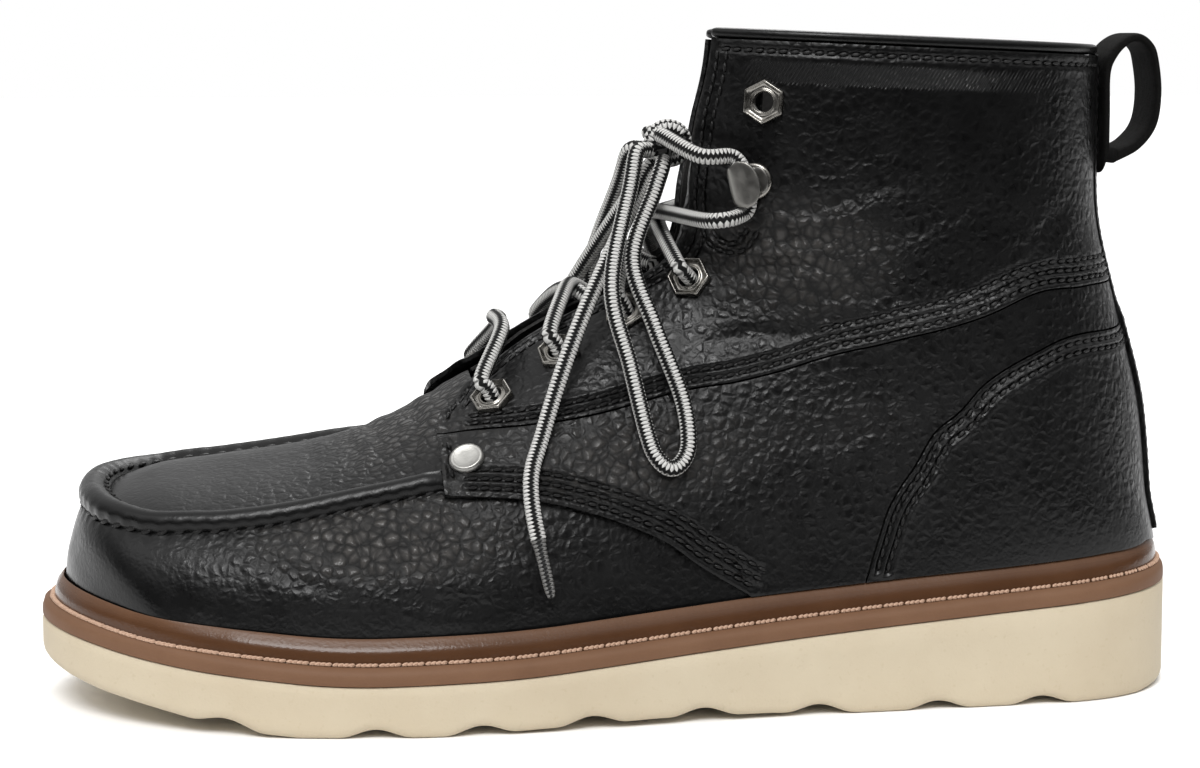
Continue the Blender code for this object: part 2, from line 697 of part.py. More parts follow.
# Sole unit
def slab(name, count, inset, low, high, look, bevel=0.0):
    """Plate with the plan of the sole between two heights that vary along it."""
    edge = sole_outline(count, inset)
    inner = sole_outline(count, bevel) if bevel else edge
    rings = []
    for k in range(count):
        back = 2 * count - 1 - k
        ring = []
        for index in (k, back):
            (x, y), (in_x, in_y) = edge[index], inner[index]
            corners = [(x, y, high(x)), (x, y, low(x) + bevel), (in_x, in_y, low(in_x))]
            corners = corners if bevel else corners[:2]
            ring.append(corners)
        rings.append(ring[0] + ring[1][::-1])
    return add(name, loft(name, np.array(rings), closed=True), look)


def make_welt():
    """Storm welt: a ring whose lip lies on the sole and whose bead stands against the upper."""
    outer = sole_outline(WELT_STATIONS, crowd=WELT_CROWD)
    inward = sole_outline(WELT_STATIONS, 1.0, WELT_CROWD) - outer
    tree = skin_tree(WELT_CLEAR)
    rings = []
    for (x, y), (in_x, in_y) in zip(outer, inward):
        ways = []
        for height in np.linspace(1.0, BEAD_HEIGHT, 5):
            start = Vector((x, y, float(sole_top(x)) + height))
            hit = tree.ray_cast(start, Vector((in_x, in_y, 0)))
            ways.append(hit[3] if hit[0] else 99.0)
        depth = min(ways)
        ring = []
        for inset, height in WELT_PROFILE:
            reach = inset * depth
            px, py = x + in_x * reach, y + in_y * reach
            ring.append((px, py, float(sole_top(px)) + height))
        rings.append(ring)
    rings.append(rings[0])
    add("welt", weld(loft("welt", np.array(rings))), "welt")


def make_sole():
    slab("outsole", SOLE_STATIONS, 0.0, tread, sole_top, "sole", bevel=SOLE_BEVEL)
    slab(
        "insole",
        INSOLE_STATIONS,
        lambda x: np.interp(x, (INSOLE_WIDENS, INSOLE_HEEL), (INSOLE_INSET, INSOLE_HEEL_INSET)),
        lambda x: sole_top(x) + GAP,
        lambda x: sole_top(x) + GAP + INSOLE,
        "lining",
    )


# Tongue
def make_tongue():
    """Padded tongue, sewn under the vamp and set back behind the lacing."""
    rows = []
    shares = np.linspace(0, TONGUE_SPREAD, 5)
    for station in np.linspace(TONGUE_FROM, TONGUE_TO, 11):
        depth = np.interp(station, (TONGUE_FROM, TONGUE_FROM + TONGUE_DROP), (TONGUE_SEAT, TONGUE_DEPTH))
        inner_half = [spot(station, share, 1, -depth)[0] for share in shares[::-1]]
        outer_half = [spot(station, share, -1, -depth)[0] for share in shares[1:]]
        rows.append(inner_half + outer_half)
    tongue = add("tongue", loft("tongue", np.array(rows), round_ring=False), "lining")
    solidify = tongue.modifiers.new("wall", "SOLIDIFY")
    solidify.thickness = TONGUE * MM
    solidify.offset = -1
    solidify.use_even_offset = True


# Metal fittings
def frame_at(x, z, side, radius):
    """Seat for a flat fitting on the panels: origin, way along the edge, way back, way out."""
    station, share = find(x, z)
    point, normal = spot(station, share, side, GAP + PANEL)
    ahead = spot(station + 0.3, share, side)[0] - spot(station - 0.3, share, side)[0]
    ahead -= normal * ahead.dot(normal)
    ahead /= np.linalg.norm(ahead)
    back = np.cross(normal, ahead) * side
    lift = 0.0
    for angle in np.linspace(0, 2 * math.pi, 12, endpoint=False):
        rim = point + radius * (math.cos(angle) * ahead + math.sin(angle) * back)
        hit = PANEL_TREE.ray_cast(Vector(rim + SEAT_SEARCH * normal), Vector(-normal))
        lift = max(lift, SEAT_SEARCH - hit[3]) if hit[0] else lift
    return point + (lift + GAP) * normal, ahead, back, normal


def matrix_of(frame):
    """Placing matrix: local X along the edge, local Y away from the throat, local Z outwards."""
    origin, ahead, back, normal = frame
    matrix = Matrix.Identity(4)
    for column, axis in enumerate((ahead, np.cross(normal, ahead), normal)):
        for row in range(3):
            matrix[row][column] = axis[row]
    matrix.translation = at(origin)
    return matrix


def mesh_from(build):
    """Mesh made by a function that fills a bmesh in millimetres."""
    mesh = bmesh.new()
    build(mesh)
    bmesh.ops.scale(mesh, vec=(MM, MM, MM), verts=mesh.verts)
    bmesh.ops.recalc_face_normals(mesh, faces=mesh.faces)
    data = bpy.data.meshes.new("fitting")
    mesh.to_mesh(data)
    mesh.free()
    return data


def fill_eyelet(mesh):
    """Hexagon plate with a round hole, as rings of twelve points."""
    angles = [math.pi / 6 * k for k in range(12)]
    flat = EYELET_FLAT / 2
    outer = [flat / math.cos((a + math.pi / 6) % (math.pi / 3) - math.pi / 6) for a in angles]
    hole = [EYELET_HOLE / 2] * 12
    rings = []
    top = [r - EYELET_BEVEL for r in outer]
    for radii, height in ((outer, 0), (top, EYELET), (hole, EYELET), (hole, 0)):
        ring = [(r * math.cos(a), r * math.sin(a), height) for r, a in zip(radii, angles)]
        rings.append([mesh.verts.new(point) for point in ring])
    for ring, onward in zip(rings, rings[1:] + rings[:1]):
        for k in range(12):
            mesh.faces.new((ring[k], ring[(k + 1) % 12], onward[(k + 1) % 12], onward[k]))


def box(mesh, low, high):
    made = bmesh.ops.create_cube(mesh, size=1.0)["verts"]
    low, high = Vector(low), Vector(high)
    bmesh.ops.scale(mesh, vec=high - low, verts=made)
    bmesh.ops.translate(mesh, vec=(low + high) / 2, verts=made)


def make_hook(name, frame, side):
    """Lace hook: a base on the leather, a narrow stem by the throat and a plate over the lace."""
    half, stem, thick, mouth = HOOK / 2, HOOK_STEM / 2, HOOK_PLATE, LACE + 2 * GAP
    front = -half * side
    inner = front + thick * side
    spans = (
        ((-half, -half, 0), (half, half, thick)),
        ((-half, -half, thick + mouth), (half, half, 2 * thick + mouth)),
        ((-stem, min(front, inner), thick / 2), (stem, max(front, inner), thick * 1.5 + mouth)),
    )
    pieces = []
    for index, (low, high) in enumerate(spans):
        data = mesh_from(lambda mesh: box(mesh, low, high))
        pieces.append(add(name if index == 0 else f"{name}_join_{index}", data, None if index else "nickel"))
        pieces[-1].matrix_world = matrix_of(frame)
    for extra in pieces[:0:-1]:
        cut(pieces[0], extra, "UNION")


def make_rivet(name, frame):
    """Domed stud: half of its profile turned round the axis."""
    profile = mesh_from(lambda mesh: turn_profile(mesh, RIVET_PROFILE))
    rivet = add(name, profile, "nickel")
    rivet.matrix_world = matrix_of(frame)
    turn = rivet.modifiers.new("turn", "SCREW")
    turn.steps = turn.render_steps = 12
    turn.use_merge_vertices = True
    turn.merge_threshold = 0.00005


def turn_profile(mesh, rows):
    line = [mesh.verts.new((radius, 0, height)) for radius, height in rows]
    for one, two in zip(line, line[1:]):
        mesh.edges.new((one, two))


# Lacing
def tube(name, points, step=LACE_STEP):
    """Round cord along a smooth curve through the points, as a curve object."""
    points = np.array(points)
    run = np.concatenate([[0], np.cumsum(np.linalg.norm(np.diff(points, axis=0), axis=1))])
    count = max(4, int(run[-1] / (LACE * step)))
    rows = [Place(*point) for point in points]
    places = np.interp(np.linspace(0, run[-1], count + 1), run, range(len(points)))
    path = np.stack([smooth(rows, axis, places) for axis in "xyz"], 1)
    curve = bpy.data.curves.new(name, "CURVE")
    curve.dimensions = "3D"
    curve.bevel_depth = LACE / 2 * MM
    curve.bevel_resolution = 2
    curve.use_fill_caps = True
    spline = curve.splines.new("POLY")
    spline.points.add(len(path) - 1)
    for knot, point in zip(spline.points, path):
        knot.co = (*at(point), 1)
    return curve


def as_mesh(thing):
    """The evaluated mesh of a cord, with its caps welded on."""
    bpy.context.view_layer.update()
    depsgraph = bpy.context.evaluated_depsgraph_get()
    return weld(bpy.data.meshes.new_from_object(thing.evaluated_get(depsgraph)))


def lace_pair(name, routes):
    """Two cords that cross, joined into one solid."""
    pieces = []
    for index, route in enumerate(routes):
        cord = add(f"{name}_route_{index}", tube(name, route, SHORT_STEP), "lace")
        data = as_mesh(cord)
        bpy.data.objects.remove(cord)
        data.materials.clear()
        pieces.append(add(name if index == 0 else f"{name}_join", data, None if index else "lace"))
    if len(pieces) > 1:
        cut(pieces[0], pieces[1], "UNION")


def over(first, second, part, side, lift):
    """A place part of the way from one eyelet to its neighbour across the throat."""
    station = first[0] + (second[0] - first[0]) * part
    share = first[1] + (-second[1] - first[1]) * part
    return spot(station, abs(share), side if share > 0 else -side, lift)[0]


def out_of(frame, height, toward=0.0, along_edge=0.0):
    origin, ahead, back, normal = frame
    return origin + height * normal - toward * back + along_edge * ahead


def make_lacing(frames, hooks):
    rim = EYELET + GAP
    spots = [find(row.x, row.z) for row in EYELETS[:4]]

    def rise(frame):
        return [out_of(frame, rim), out_of(frame, rim + RISE, LEAN)]

    middle = [over(spots[0], spots[0], part, -1, BAR_LIFT) for part in (0.3, 0.5, 0.7)]
    lace_pair("lace_bar", [rise(frames[-1][0]) + middle + rise(frames[1][0])[::-1]])
    for index in (1, 2):
        routes = []
        for side in (-1, 1):
            pair = spots[index], spots[index + 1]
            onward = [over(*pair, row.part, side, row.lift) for row in CROSSING]
            routes.append(rise(frames[side][index]) + onward)
        lace_pair(f"lace_cross_{index}", routes)
    routes = []
    for side in (-1, 1):
        hook, mid = hooks[-side], HOOK_PLATE + GAP + LACE / 2
        route = rise(frames[side][3]) + [np.array(LACE_MEET)]
        route += [out_of(hook, mid + row.lift, row.toward, row.upward) for row in ROUND_HOOK]
        route += [knot_point(HOOK_WAY * (1, -side, 1), clear) for clear in (KNOT_RUN, KNOT_CLEAR)]
        routes.append(route)
    lace_pair("lace_cross_3", routes)


def knot_point(way, clear=0.0):
    """A point on the knot in a direction, or a little off it."""
    way = np.array(way) / np.linalg.norm(way)
    reach = 1 / np.linalg.norm(way / np.array(KNOT_RADII))
    return np.array(KNOT) + way * (reach + clear)


def hang(rows, side):
    """Route of a hanging cord, given in the side view, laid on the panels of one side."""
    return [spot(*find(row.x, row.z), side, GAP + PANEL + row.lift)[0] for row in rows]


def make_bow():
    mesh = bmesh.new()
    bmesh.ops.create_uvsphere(mesh, u_segments=10, v_segments=6, radius=1.0)
    bmesh.ops.scale(mesh, vec=Vector(KNOT_RADII) * MM, verts=mesh.verts)
    data = bpy.data.meshes.new("lace_knot")
    mesh.to_mesh(data)
    mesh.free()
    add("lace_knot", data, "lace").location = at(KNOT)
    for side, word in ((-1, "lateral"), (1, "medial")):
        out = [knot_point(DOWN_WAY * (1, side, 1), clear) for clear in (KNOT_CLEAR, KNOT_RUN)]
        back = [knot_point(BACK_WAY * (1, side, 1), clear) for clear in (KNOT_RUN, KNOT_CLEAR)]
        add(f"lace_loop_{word}", tube("loop", out + hang(LOOP, side) + back), "lace")
        out = [knot_point(FREE_WAY * (1, side, 1), clear) for clear in (KNOT_CLEAR, KNOT_RUN + 1)]
        add(f"lace_end_{word}", tube("end", out + hang(FREE_END, side)), "lace")


# Building the boot
PANEL_TREE = skin_tree(GAP + PANEL)
FRAMES = {side: [frame_at(row.x, row.z, side, EYELET_FLAT / 2) for row in EYELETS] for side in (-1, 1)}
HOOKS = {side: frame_at(HOOK_AT.x, HOOK_AT.z, side, HOOK / 2 * HOOK_CORNER) for side in (-1, 1)}


def make_eyelet_holes():
    """One cutter with a pin through every eyelet."""
    mesh = bmesh.new()
    for side in (-1, 1):
        for frame in FRAMES[side]:
            size = EYELET_HOLE / 2 * MM
            pin = {"segments": 8, "radius1": size, "radius2": size, "depth": PIN_LENGTH * MM}
            bmesh.ops.create_cone(mesh, cap_ends=True, matrix=matrix_of(frame), **pin)
    data = bpy.data.meshes.new("cut_eyelets")
    mesh.to_mesh(data)
    mesh.free()
    return add("cut_eyelets", data)


eyelet_holes = make_eyelet_holes()
make_sole()
make_welt()
make_upper()
cut(bpy.data.objects["upper"], eyelet_holes)
make_tongue()
make_binding()
for side, word in ((-1, "lateral"), (1, "medial")):
    make_side_panels(side, word)
make_back()
make_moc_seam()
plate = mesh_from(fill_eyelet)
for side, word in ((-1, "lateral"), (1, "medial")):
    for index, frame in enumerate(FRAMES[side]):
        add(f"eyelet_{word}_{index + 1}", plate, "nickel").matrix_world = matrix_of(frame)
    make_hook(f"hook_{word}", HOOKS[side], side)
    make_rivet(f"rivet_{word}", frame_at(RIVET_AT.x, RIVET_AT.z, side, RIVET_PROFILE[-2][0]))
make_lacing(FRAMES, HOOKS)
make_bow()
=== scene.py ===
# %% [markdown]
# # A black work boot on a wedge sole
# The frame holds the solids of the boot: the wall of the upper, the sole, the panels and the lace.
# Everything here is laid on that frame, so each piece goes where its solid says. The pieces could be
# sculpted by eye, but a boot is sewn from flat panels over one form, and a script that takes the same
# steps keeps each seam where its two panels meet.

# %% Load the frame
import math

import bpy
import numpy as np
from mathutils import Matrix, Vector
from mathutils.bvhtree import BVHTree
from mathutils.kdtree import KDTree


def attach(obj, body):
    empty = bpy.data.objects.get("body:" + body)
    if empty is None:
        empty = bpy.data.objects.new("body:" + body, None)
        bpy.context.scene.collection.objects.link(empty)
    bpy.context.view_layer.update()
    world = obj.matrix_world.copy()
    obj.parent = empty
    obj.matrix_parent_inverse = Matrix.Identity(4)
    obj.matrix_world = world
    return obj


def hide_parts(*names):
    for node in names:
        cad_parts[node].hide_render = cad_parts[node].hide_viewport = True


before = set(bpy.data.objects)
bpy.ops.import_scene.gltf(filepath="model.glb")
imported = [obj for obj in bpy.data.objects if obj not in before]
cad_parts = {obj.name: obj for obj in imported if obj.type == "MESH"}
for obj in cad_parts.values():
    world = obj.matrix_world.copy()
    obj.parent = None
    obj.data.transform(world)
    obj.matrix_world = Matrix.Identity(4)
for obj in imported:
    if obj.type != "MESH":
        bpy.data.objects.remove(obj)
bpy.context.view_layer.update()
MM = 0.001
print("solids in the frame:", len(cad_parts))

# %% [markdown]
# ## Camera
# The boot was photographed from its outer side, a little above the laces and a little from the toe.
# A long lens keeps the outline nearly flat, so the camera stands about 0.8 m away. It could track the
# boot by a constraint; two angles are enough, because neither of them moves.

# %% Camera
YAW, DIP = math.radians(7.4), math.radians(6.63)
STAND = Vector((-106.04, -790.93, 174.8)) * MM
bpy.ops.object.select_all(action="DESELECT")
bpy.ops.object.camera_add(location=STAND)
camera = bpy.context.object
aim = Vector((math.sin(YAW) * math.cos(DIP), math.cos(YAW) * math.cos(DIP), -math.sin(DIP)))
camera.rotation_euler = aim.to_track_quat("-Z", "Y").to_euler()
camera.data.lens = 89.85
camera.data.sensor_width = 36
bpy.context.scene.camera = camera
print("camera looks along", [round(v, 3) for v in aim])

# %% [markdown]
# ## The last
# A boot is made over a last, the solid form of the foot. Here the last is a table of sections, fanned
# from the toe over the instep and up the leg. Every leather piece is a flat grid that is laid on it,
# so one function that gives a point and a way out of the last carries the whole upper. A subdivided
# mesh could be the last too, but on a table every place has an address that the seams can use.

# %% Sections of the last
# top_x top_z base_x base_z lateral medial top_y base_y widest top_power base_power twist
SECTIONS = np.array((
    (-145.2, 10.0, -101, 2.0, 43.5, 44.5, 6.0, 1.0, 0.02, 2.05, 6.0, 0.00),
    (-145.8, 27.0, -101, 1.5, 44.0, 45.0, 6.0, 1.0, 0.05, 2.05, 6.0, 0.00),
    (-144.6, 41.0, -101, 1.0, 44.5, 45.5, 6.0, 1.0, 0.12, 2.10, 6.0, 0.03),
    (-138.5, 54.5, -101, 1.0, 45.0, 46.0, 5.0, 1.0, 0.22, 2.40, 6.0, 0.07),
    (-124.0, 60.0, -101, 1.0, 45.5, 46.5, 4.0, 1.0, 0.32, 2.75, 6.0, 0.12),
    (-104.0, 62.0, -100, 2.0, 47.0, 47.0, 2.5, 0.0, 0.365, 2.95, 6.0, 0.14),
    (-80.0, 66.0, -74, 5.0, 50.0, 48.5, 1.0, -1.5, 0.34, 2.75, 6.0, 0.14),
    (-58.0, 74.0, -46, 5.0, 50.5, 47.0, 0.5, -3.0, 0.33, 2.45, 6.0, 0.13),
    (-38.0, 86.0, -18, 6.0, 47.5, 42.5, 0.5, -4.0, 0.31, 2.25, 6.0, 0.11),
    (-19.0, 98.5, 12, 9.0, 42.5, 37.0, 0.5, -4.5, 0.30, 2.15, 6.0, 0.09),
    (-2.0, 108.5, 46, 12.0, 38.5, 34.0, 0.5, -3.5, 0.30, 2.10, 5.5, 0.06),
    (8.5, 116.0, 84, 14.0, 36.8, 34.5, 0.0, -2.0, 0.32, 2.10, 5.0, 0.03),
    (13.0, 123.0, 121, 16.0, 36.5, 35.5, 0.0, -1.0, 0.36, 2.10, 3.6, 0.0),
    (14.0, 129.5, 147, 27.0, 36.5, 36.0, 0.0, 0.0, 0.42, 2.10, 2.5, 0.0),
    (14.2, 135.5, 145.2, 52.0, 36.5, 36.0, 0.0, 0.0, 0.45, 2.10, 2.35, 0.0),
    (14.2, 142.0, 142.6, 77.0, 36.0, 35.5, 0.0, 0.0, 0.47, 2.15, 2.30, 0.0),
    (14.2, 149.0, 136.0, 102.0, 35.5, 35.0, 0.0, 0.0, 0.48, 2.20, 2.30, 0.0),
    (14.4, 157.0, 130.2, 126.0, 35.0, 34.5, 0.0, 0.0, 0.48, 2.25, 2.30, 0.0),
    (16.0, 167.0, 129.4, 150.0, 34.6, 34.2, 0.0, 0.0, 0.48, 2.30, 2.30, 0.0),
    (18.0, 184.0, 129.6, 180.0, 34.4, 34.0, 0.0, 0.0, 0.48, 2.30, 2.30, 0.0),
))
LAST_STATION = len(SECTIONS) - 1


def weights(t):
    """The four weights of a smooth curve through evenly spaced values."""
    return (
        0.5 * (-t + 2 * t**2 - t**3),
        0.5 * (2 - 5 * t**2 + 3 * t**3),
        0.5 * (t + 4 * t**2 - 3 * t**3),
        0.5 * (-(t**2) + t**3),
    )


def curve(rows, at):
    """Values on a smooth curve through the rows of a table, at fractional row numbers."""
    rows = np.asarray(rows, float)
    padded = np.concatenate([2 * rows[:1] - rows[1:2], rows, 2 * rows[-1:] - rows[-2:-1]])
    at = np.clip(np.asarray(at, float), 0, len(rows) - 1)
    low = np.minimum(at.astype(int), len(rows) - 2)
    t = (at - low).reshape(at.shape + (1,) * (rows.ndim - 1))
    return sum(w * padded[low + step] for step, w in enumerate(weights(t)))


def run_of(points):
    """How far along a line of points each of them lies."""
    return np.concatenate([[0], np.cumsum(np.linalg.norm(np.diff(points, axis=0), axis=1))])


def spread(points, count=None, step=None):
    """Evenly spaced points along a line; columns after the third go with them."""
    run = run_of(points[:, :3])
    count = count or max(2, int(round(run[-1] / step)) + 1)
    stops = np.linspace(0, run[-1], count)
    return np.stack([np.interp(stops, run, axis) for axis in points.T], 1)


ROWS_PER_STATION, HALF, RING_STEPS = 24, 160, 700


def half_ring(row, side):
    """One half of a section, from its top to its base, evenly spaced."""
    top_x, top_z, base_x, base_z, lateral, medial, top_y, base_y, widest, top_power, base_power, twist = row
    angle = np.linspace(0, math.pi, RING_STEPS)
    power = np.where(np.cos(angle) >= 0, top_power, base_power)
    reach = np.where(np.cos(angle) >= 0, 1 - widest, -widest)
    height = widest + reach * np.abs(np.cos(angle)) ** (2 / power)
    half = lateral if side < 0 else medial
    y = base_y + (top_y - base_y) * height + side * half * np.abs(np.sin(angle)) ** (2 / power)
    x = base_x + (top_x - base_x) * height
    z = base_z + (top_z - base_z) * height + twist * (y - base_y) * np.clip(height, 0, 1)
    return spread(np.stack([x, y, z], 1), HALF + 1)


LAST = np.array([
    np.concatenate([half_ring(row, -1)[::-1], half_ring(row, 1)[1:]])
    for row in curve(SECTIONS, np.linspace(0, LAST_STATION, LAST_STATION * ROWS_PER_STATION + 1))
])
print("last:", LAST.shape[0], "sections of", LAST.shape[1], "points")

# %% [markdown]
# A place on the last is a station along it and a turn round it: -1 is the base on the outer side,
# 0 the top and 1 the base on the inner side. The seams were read from the side, so a second function
# finds the station and turn that show at a given place of the side view. A projection by ray would find
# the point, but not its address on the last.

# %% Places on the last
FAR = 1e9
STEP_STATION, STEP_TURN = 0.06, 0.005


def on_last(station, turn):
    """Points on the last, smooth between the rows and columns of its grid."""
    row = np.clip(np.asarray(station, float) * ROWS_PER_STATION, 0, len(LAST) - 1)
    column = (np.asarray(turn, float) + 1) % 2 * HALF
    low_row = np.minimum(row.astype(int), len(LAST) - 2)
    low_column = column.astype(int)
    total = 0
    for i, by_row in enumerate(weights(row - low_row)):
        rows = np.clip(low_row + i - 1, 0, len(LAST) - 1)
        for j, by_column in enumerate(weights(column - low_column)):
            columns = (low_column + j - 1) % (2 * HALF)
            total = total + (by_row * by_column)[..., None] * LAST[rows, columns]
    return total


def way_out(station, turn):
    """The outward normal of the last."""
    onward = on_last(station + STEP_STATION, turn) - on_last(station - STEP_STATION, turn)
    across = on_last(station, turn + STEP_TURN) - on_last(station, turn - STEP_TURN)
    normal = np.cross(onward, across)
    return normal / np.maximum(np.linalg.norm(normal, axis=-1, keepdims=True), 1e-9)


def skin(station, turn, lift=0.0):
    """Points at a distance off the last."""
    station, turn, lift = np.broadcast_arrays(station, turn, lift)
    return on_last(station, turn) + lift[..., None] * way_out(station, turn)


# %% Places that show in a view
PROBE_STATION, PROBE_SHARE = 0.03, 0.003
STRIDE_STATION, STRIDE_SHARE = 0.2, 0.02
EDGE_ON = 30


def find(places, axes=(0, 2)):
    """Stations and shares on the outer side that show at these places of the side or plan view."""
    places = np.asarray(places, float)
    outer = LAST[:, : HALF + 1][..., axes]
    keep = HALF // 2 if axes == (0, 1) else 0
    found = []
    for place in places:
        miss = ((outer - place) ** 2).sum(-1)
        miss[:, :keep] = FAR
        row, column = np.unravel_index(miss.argmin(), miss.shape)
        found.append((row / ROWS_PER_STATION, 1 - column / HALF))
    found = np.array(found)
    for _ in range(5):
        station, share = found.T
        here = on_last(station, -share)[:, axes]
        by_station = (on_last(station + PROBE_STATION, -share)[:, axes] - here) / PROBE_STATION
        by_share = (on_last(station, -share - PROBE_SHARE)[:, axes] - here) / PROBE_SHARE
        gap = places - here
        size = by_station[:, 0] * by_share[:, 1] - by_station[:, 1] * by_share[:, 0]
        size = np.where(np.abs(size) < EDGE_ON, FAR, size)
        onward = (gap[:, 0] * by_share[:, 1] - gap[:, 1] * by_share[:, 0]) / size
        round_it = (by_station[:, 0] * gap[:, 1] - by_station[:, 1] * gap[:, 0]) / size
        onward = np.clip(onward, -STRIDE_STATION, STRIDE_STATION)
        round_it = np.clip(round_it, -STRIDE_SHARE, STRIDE_SHARE)
        found = found + np.stack([onward, round_it], 1)
        found[:, 1] = np.clip(found[:, 1], 0, 1)
    return found


print("toe top lies at", on_last(4.0, 0.0).round(1))

# %% [markdown]
# ## Finishes
# A finish is a tree of shader nodes. It can be drawn in the editor by hand; in a script a few short calls
# that make a node, link it and give back its output keep each finish readable as one recipe.


# %% Helpers for node materials
class Mixer:
    """A material under construction, with short calls for its nodes."""

    def __init__(self, name):
        self.material = bpy.data.materials.new(name)
        self.material.use_nodes = True
        self.tree = self.material.node_tree
        self.shader = self.tree.nodes["Principled BSDF"]

    def link(self, value, socket):
        if isinstance(value, bpy.types.NodeSocket):
            self.tree.links.new(value, socket)
        else:
            socket.default_value = value

    def node(self, kind, inputs=(), **settings):
        made = self.tree.nodes.new(kind)
        for key, value in settings.items():
            setattr(made, key, value)
        for key, value in dict(inputs).items():
            self.link(value, made.inputs[key])
        return made

    def math(self, operation, *values):
        made = self.node("ShaderNodeMath", operation=operation)
        for socket, value in zip(made.inputs, values):
            self.link(value, socket)
        return made.outputs[0]

    def ramp(self, value, low, high, to_low=0.0, to_high=1.0, kind="LINEAR"):
        inputs = {"Value": value, "From Min": low, "From Max": high, "To Min": to_low, "To Max": to_high}
        return self.node("ShaderNodeMapRange", inputs, interpolation_type=kind).outputs[0]

    def blend(self, factor, first, second):
        made = self.node("ShaderNodeMix", data_type="RGBA")
        self.link(factor, made.inputs[0])
        self.link((*first, 1) if isinstance(first, tuple) else first, made.inputs[6])
        self.link((*second, 1) if isinstance(second, tuple) else second, made.inputs[7])
        return made.outputs[2]

    def place(self):
        return self.node("ShaderNodeTexCoord").outputs["Object"]

    def noise(self, scale, detail=2.0, vector=None, rough=0.5):
        inputs = {"Vector": vector or self.place(), "Scale": scale, "Detail": detail, "Roughness": rough}
        return self.node("ShaderNodeTexNoise", inputs).outputs[0]

    def cells(self, scale, feature, vector=None):
        inputs = {"Vector": vector or self.place(), "Scale": scale}
        return self.node("ShaderNodeTexVoronoi", inputs, feature=feature).outputs["Distance"]

    def attribute(self, name):
        return self.node("ShaderNodeAttribute", attribute_name=name).outputs["Fac"]

    def bump(self, height, distance, strength=1.0):
        inputs = {"Height": height, "Distance": distance, "Strength": strength}
        self.link(self.node("ShaderNodeBump", inputs).outputs[0], self.shader.inputs["Normal"])

    def set(self, **sockets):
        for key, value in sockets.items():
            self.link(value, self.shader.inputs[key.replace("_", " ")])
        return self.material


print("finishes start as nodes on", bpy.app.version_string)

# %% [markdown]
# The leather is black and semi-gloss, with a pebbled grain that is strong over the flex of the vamp and
# the ankle and nearly gone where the leather was pulled tight over the toe. Pebbles could be modelled,
# but they are too many, so the grain is two scales of cells in a bump. An attribute on each piece says
# how strongly it stands there, and so how far the tops are painted lighter grey, a painted highlight;
# the gullies are painted darker, a painted shade. Below the collar a band of fine slanting ribs is
# pressed in, which a second attribute switches on.

# %% Leathers
WARP_SCALE, WARP_REACH = 230.0, 0.0017
SECOND_GRAIN = 2.6
RIB_PITCH, RIB_SLANT = 0.00105, -0.62
# grey that the pebble tops are painted towards where the grain is strong: a painted highlight
PAINTED_SHEEN_GREY = (0.06, 0.056, 0.0525)


def leather(name, dark, light, rough, cell=2.7, relief=0.5):
    """Pebbled leather: cells with rounded tops, a finer second grain and dull gullies between; the tops are
    painted lighter (painted highlight) and the gullies darker (painted shade).
    """
    mix = Mixer(name)
    drift = mix.node("ShaderNodeVectorMath", operation="SCALE")
    warp = mix.node("ShaderNodeTexNoise", {"Vector": mix.place(), "Scale": WARP_SCALE, "Detail": 1.0})
    mix.link(warp.outputs["Color"], drift.inputs[0])
    mix.link(WARP_REACH, drift.inputs["Scale"])
    moved = mix.node("ShaderNodeVectorMath", operation="ADD")
    mix.link(mix.place(), moved.inputs[0])
    mix.link(drift.outputs[0], moved.inputs[1])
    spot = moved.outputs[0]
    scale = 1 / (cell * MM)
    pebble = mix.ramp(mix.cells(scale, "F1", spot), 0.1, 0.9, 1.0, 0.0, "SMOOTHSTEP")
    gully = mix.ramp(mix.cells(scale, "DISTANCE_TO_EDGE", spot), 0.0, 0.4, kind="SMOOTHSTEP")
    small = mix.cells(SECOND_GRAIN / (cell * MM), "F1", spot)
    small = mix.ramp(small, 0.0, 0.85, 1.0, 0.0, "SMOOTHSTEP")
    top = mix.math("ADD", mix.math("MULTIPLY", pebble, 0.4), mix.math("MULTIPLY", gully, 0.6))
    grain = mix.attribute("grain")
    coarse = mix.math("MULTIPLY", top, grain)
    fine = mix.math("MULTIPLY", small, mix.ramp(grain, 0.0, 1.0, 0.05, 0.17))
    pores = mix.math("MULTIPLY", mix.noise(2600.0, 1.0), 0.035)
    axes = mix.node("ShaderNodeSeparateXYZ", {"Vector": mix.place()})
    slope = mix.math("ADD", axes.outputs[0], mix.math("MULTIPLY", axes.outputs[2], RIB_SLANT))
    rib = mix.math("SINE", mix.math("MULTIPLY", slope, 2 * math.pi / RIB_PITCH))
    pressed = mix.math("MULTIPLY", mix.math("MULTIPLY", rib, 0.3), mix.attribute("ribbed"))
    height = mix.math("ADD", mix.math("ADD", mix.math("ADD", coarse, fine), pores), pressed)
    mix.bump(height, relief * MM)
    # the tone is random, and painted darker in the gullies and wherever the grain is weak: painted shade
    tone_with_gully_shade = mix.math("MULTIPLY", mix.noise(42.0, 3.0), mix.ramp(height, 0.1, 1.1, 0.25, 1.0))
    worn = mix.ramp(mix.noise(95.0, 3.0), 0.3, 0.7, rough - 0.04, rough + 0.06)
    dull = mix.math("MULTIPLY", mix.math("SUBTRACT", 1.0, gully), mix.math("MULTIPLY", grain, 0.35))
    gloss = mix.math("ADD", worn, dull)
    # the pebble tops are painted lighter grey where the grain is strong: a painted highlight
    paler = mix.math("MULTIPLY", top, mix.ramp(grain, 0.5, 1.1))
    colour = mix.blend(paler, mix.blend(tone_with_gully_shade, dark, light), PAINTED_SHEEN_GREY)
    return mix.set(Base_Color=colour, Roughness=gloss, Specular_IOR_Level=0.29)


